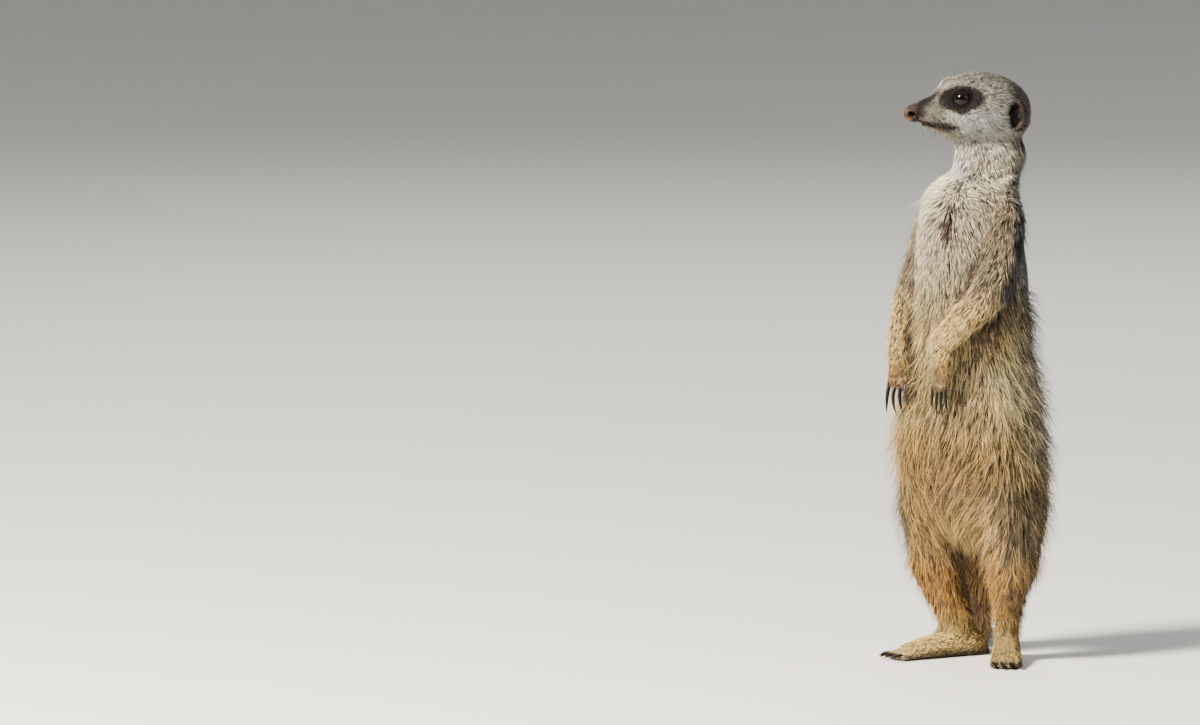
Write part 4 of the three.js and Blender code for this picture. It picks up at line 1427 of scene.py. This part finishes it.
def whisker_piece(skin):
    """Long dark tapering hairs on the muzzle, chin, brow and cheek."""
    t = np.linspace(0, 1, WHISKER_RINGS)
    row, corner = np.divmod(np.arange(WHISKER_RINGS * WHISKER_SIDES), WHISKER_SIDES)
    patch = np.stack([(corner + 0.15 * row) / 5, row / WHISKER_RINGS], 1)
    patch = WHISKER_PATCH * np.concatenate([patch, [(0.5, -0.1), (0.5, 1)]])
    parts, uvs = [], []
    for (_, _, _, length, way), out, root in whisker_roots(skin):
        aim = unit((np.array(way) * [out, 1, 1] + rng.normal(0, 0.13, 3)) @ HEAD_AXES)
        reach = length * rng.uniform(0.7, 1.15) * MM
        sag = np.array([0, -0.22, -0.1]) @ HEAD_AXES * reach
        centres = bezier(root, root + 0.5 * reach * aim, root + reach * aim + sag, t)
        radii = WHISKER_RADIUS * MM * (1 - 0.9 * t)
        parts.append(tapered(centres, radii, np.cross(aim, UP + 0.01), WHISKER_SIDES))
        uvs.append(np.array([0.5 + 0.24 * out + rng.uniform(-0.2, 0.2), rng.uniform(0.02, 0.95)]) + patch)
    along = np.tile([*np.repeat(t, WHISKER_SIDES), 0, 1], len(parts))
    material = whisker_material()
    add_piece("whiskers", *stacked(parts), material, "coat_face", uvs=np.concatenate(uvs), along=along)


# ---- floor, lights and camera

FLOOR = {"middle": (0.5, 3.0), "flat": 7.0, "edge": 11.0, "rise": 6.0, "sides": 96}  # metres
FLOOR_TONES = ((0.3, (0.62, 0.61, 0.59)), (0.7, (0.66, 0.65, 0.63)))  # linear
CAMERA = {"azimuth": 35, "elevation": 5.5, "distance": 5.4, "lens": 300.2, "sensor": 36}  # metres away
AIM = (-199.1, 160.7)  # the middle of the view from the foot of the body's axis, across and up
LIGHT_TARGET = 160
# name, azimuth, elevation, distance and size in metres, watts, colour
LIGHTS = [
    ("key", -16, 36, 2.4, 0.7, 315, (1.0, 0.93, 0.80)),
    ("fill", 80, 25, 3.0, 2.2, 19, (0.90, 0.95, 1.0)),
    ("back", 215, 38, 3.0, 1.6, 42, (1.0, 0.97, 0.92)),
]
SKY = {"Color": (0.92, 0.95, 1.0, 1), "Strength": 0.5}


def direction(azimuth, elevation):
    a, e = math.radians(azimuth), math.radians(elevation)
    return np.array([math.sin(a) * math.cos(e), -math.cos(a) * math.cos(e), math.sin(e)])


def aimed(name, data, place, target):
    """A new object that looks from a place to a target."""
    thing = linked(name, data)
    thing.location = Vector(place)
    thing.rotation_euler = Vector(target - place).to_track_quat("-Z", "Y").to_euler()
    return thing


def make_floor():
    """A pale floor that turns up into a wall a long way off."""
    flat, edge, sides = FLOOR["flat"], FLOOR["edge"], FLOOR["sides"]
    bend = np.linspace(0, math.pi / 2, 16)[1:]
    curve = edge - flat
    radii = np.concatenate([FLOOR["middle"], [flat], flat + curve * np.sin(bend), [edge]])
    heights = np.concatenate([[0, 0, 0], curve * (1 - np.cos(bend)), [curve + FLOOR["rise"]]])
    around = np.stack([*circle(sides), np.zeros(sides)], 1)
    points, tris = loft(radii[:, None, None] * around + heights[:, None, None] * UP)
    shader = Shader("floor")
    colour = shader.ramp(shader.noise(0.7, 2), *FLOOR_TONES)
    material = shader.finish(colour, 0.9, Specular_IOR_Level=0.1)
    mesh = mesh_of("floor", points[:-1], tris[:-sides])
    mesh.materials.append(material)
    linked("floor", mesh)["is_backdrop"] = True


def make_lights():
    target = AXIS + LIGHT_TARGET * MM * UP
    for name, azimuth, elevation, distance, size, watts, colour in LIGHTS:
        lamp = bpy.data.lights.new(name, "AREA")
        lamp.shape, lamp.size, lamp.energy, lamp.color = "DISK", size, watts, colour
        aimed(name, lamp, target + distance * direction(azimuth, elevation), target)
    world = bpy.data.worlds.new("studio")
    world.use_nodes = True
    for socket, value in SKY.items():
        world.node_tree.nodes["Background"].inputs[socket].default_value = value
    bpy.context.scene.world = world


def make_camera():
    back = direction(CAMERA["azimuth"], CAMERA["elevation"])
    across = direction(CAMERA["azimuth"] + 90, 0)
    target = AXIS + MM * (AIM[0] * across + AIM[1] * np.cross(back, across))
    lens = bpy.data.cameras.new("camera")
    lens.lens, lens.sensor_width = CAMERA["lens"], CAMERA["sensor"]
    lens.clip_start, lens.clip_end = 0.1, 60
    bpy.context.scene.camera = aimed("camera", lens, target + CAMERA["distance"] * back, target)


# ---- everything together


def make_meerkat():
    nearest = flesh_finder()
    skin = make_skin(nearest)
    coat = Coat(skin, nearest)
    add_piece("skin", skin.points, skin.tris, skin_material(), "coat_belly", FLESH, colours=coat.skin_colour)
    make_coat(coat, fur_material())
    eye_pieces()
    nose_piece()
    claw_pieces()
    whisker_piece(skin)


def write_sizes():
    """Puts the CAD model's box and the visual model's into a table, which nothing keeps."""
    boxes = {"cad": cad_box, "visual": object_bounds()}
    {name: [list(corner) for corner in box] for name, box in boxes.items()}


make_floor()
make_lights()
make_camera()
make_meerkat()
write_sizes()
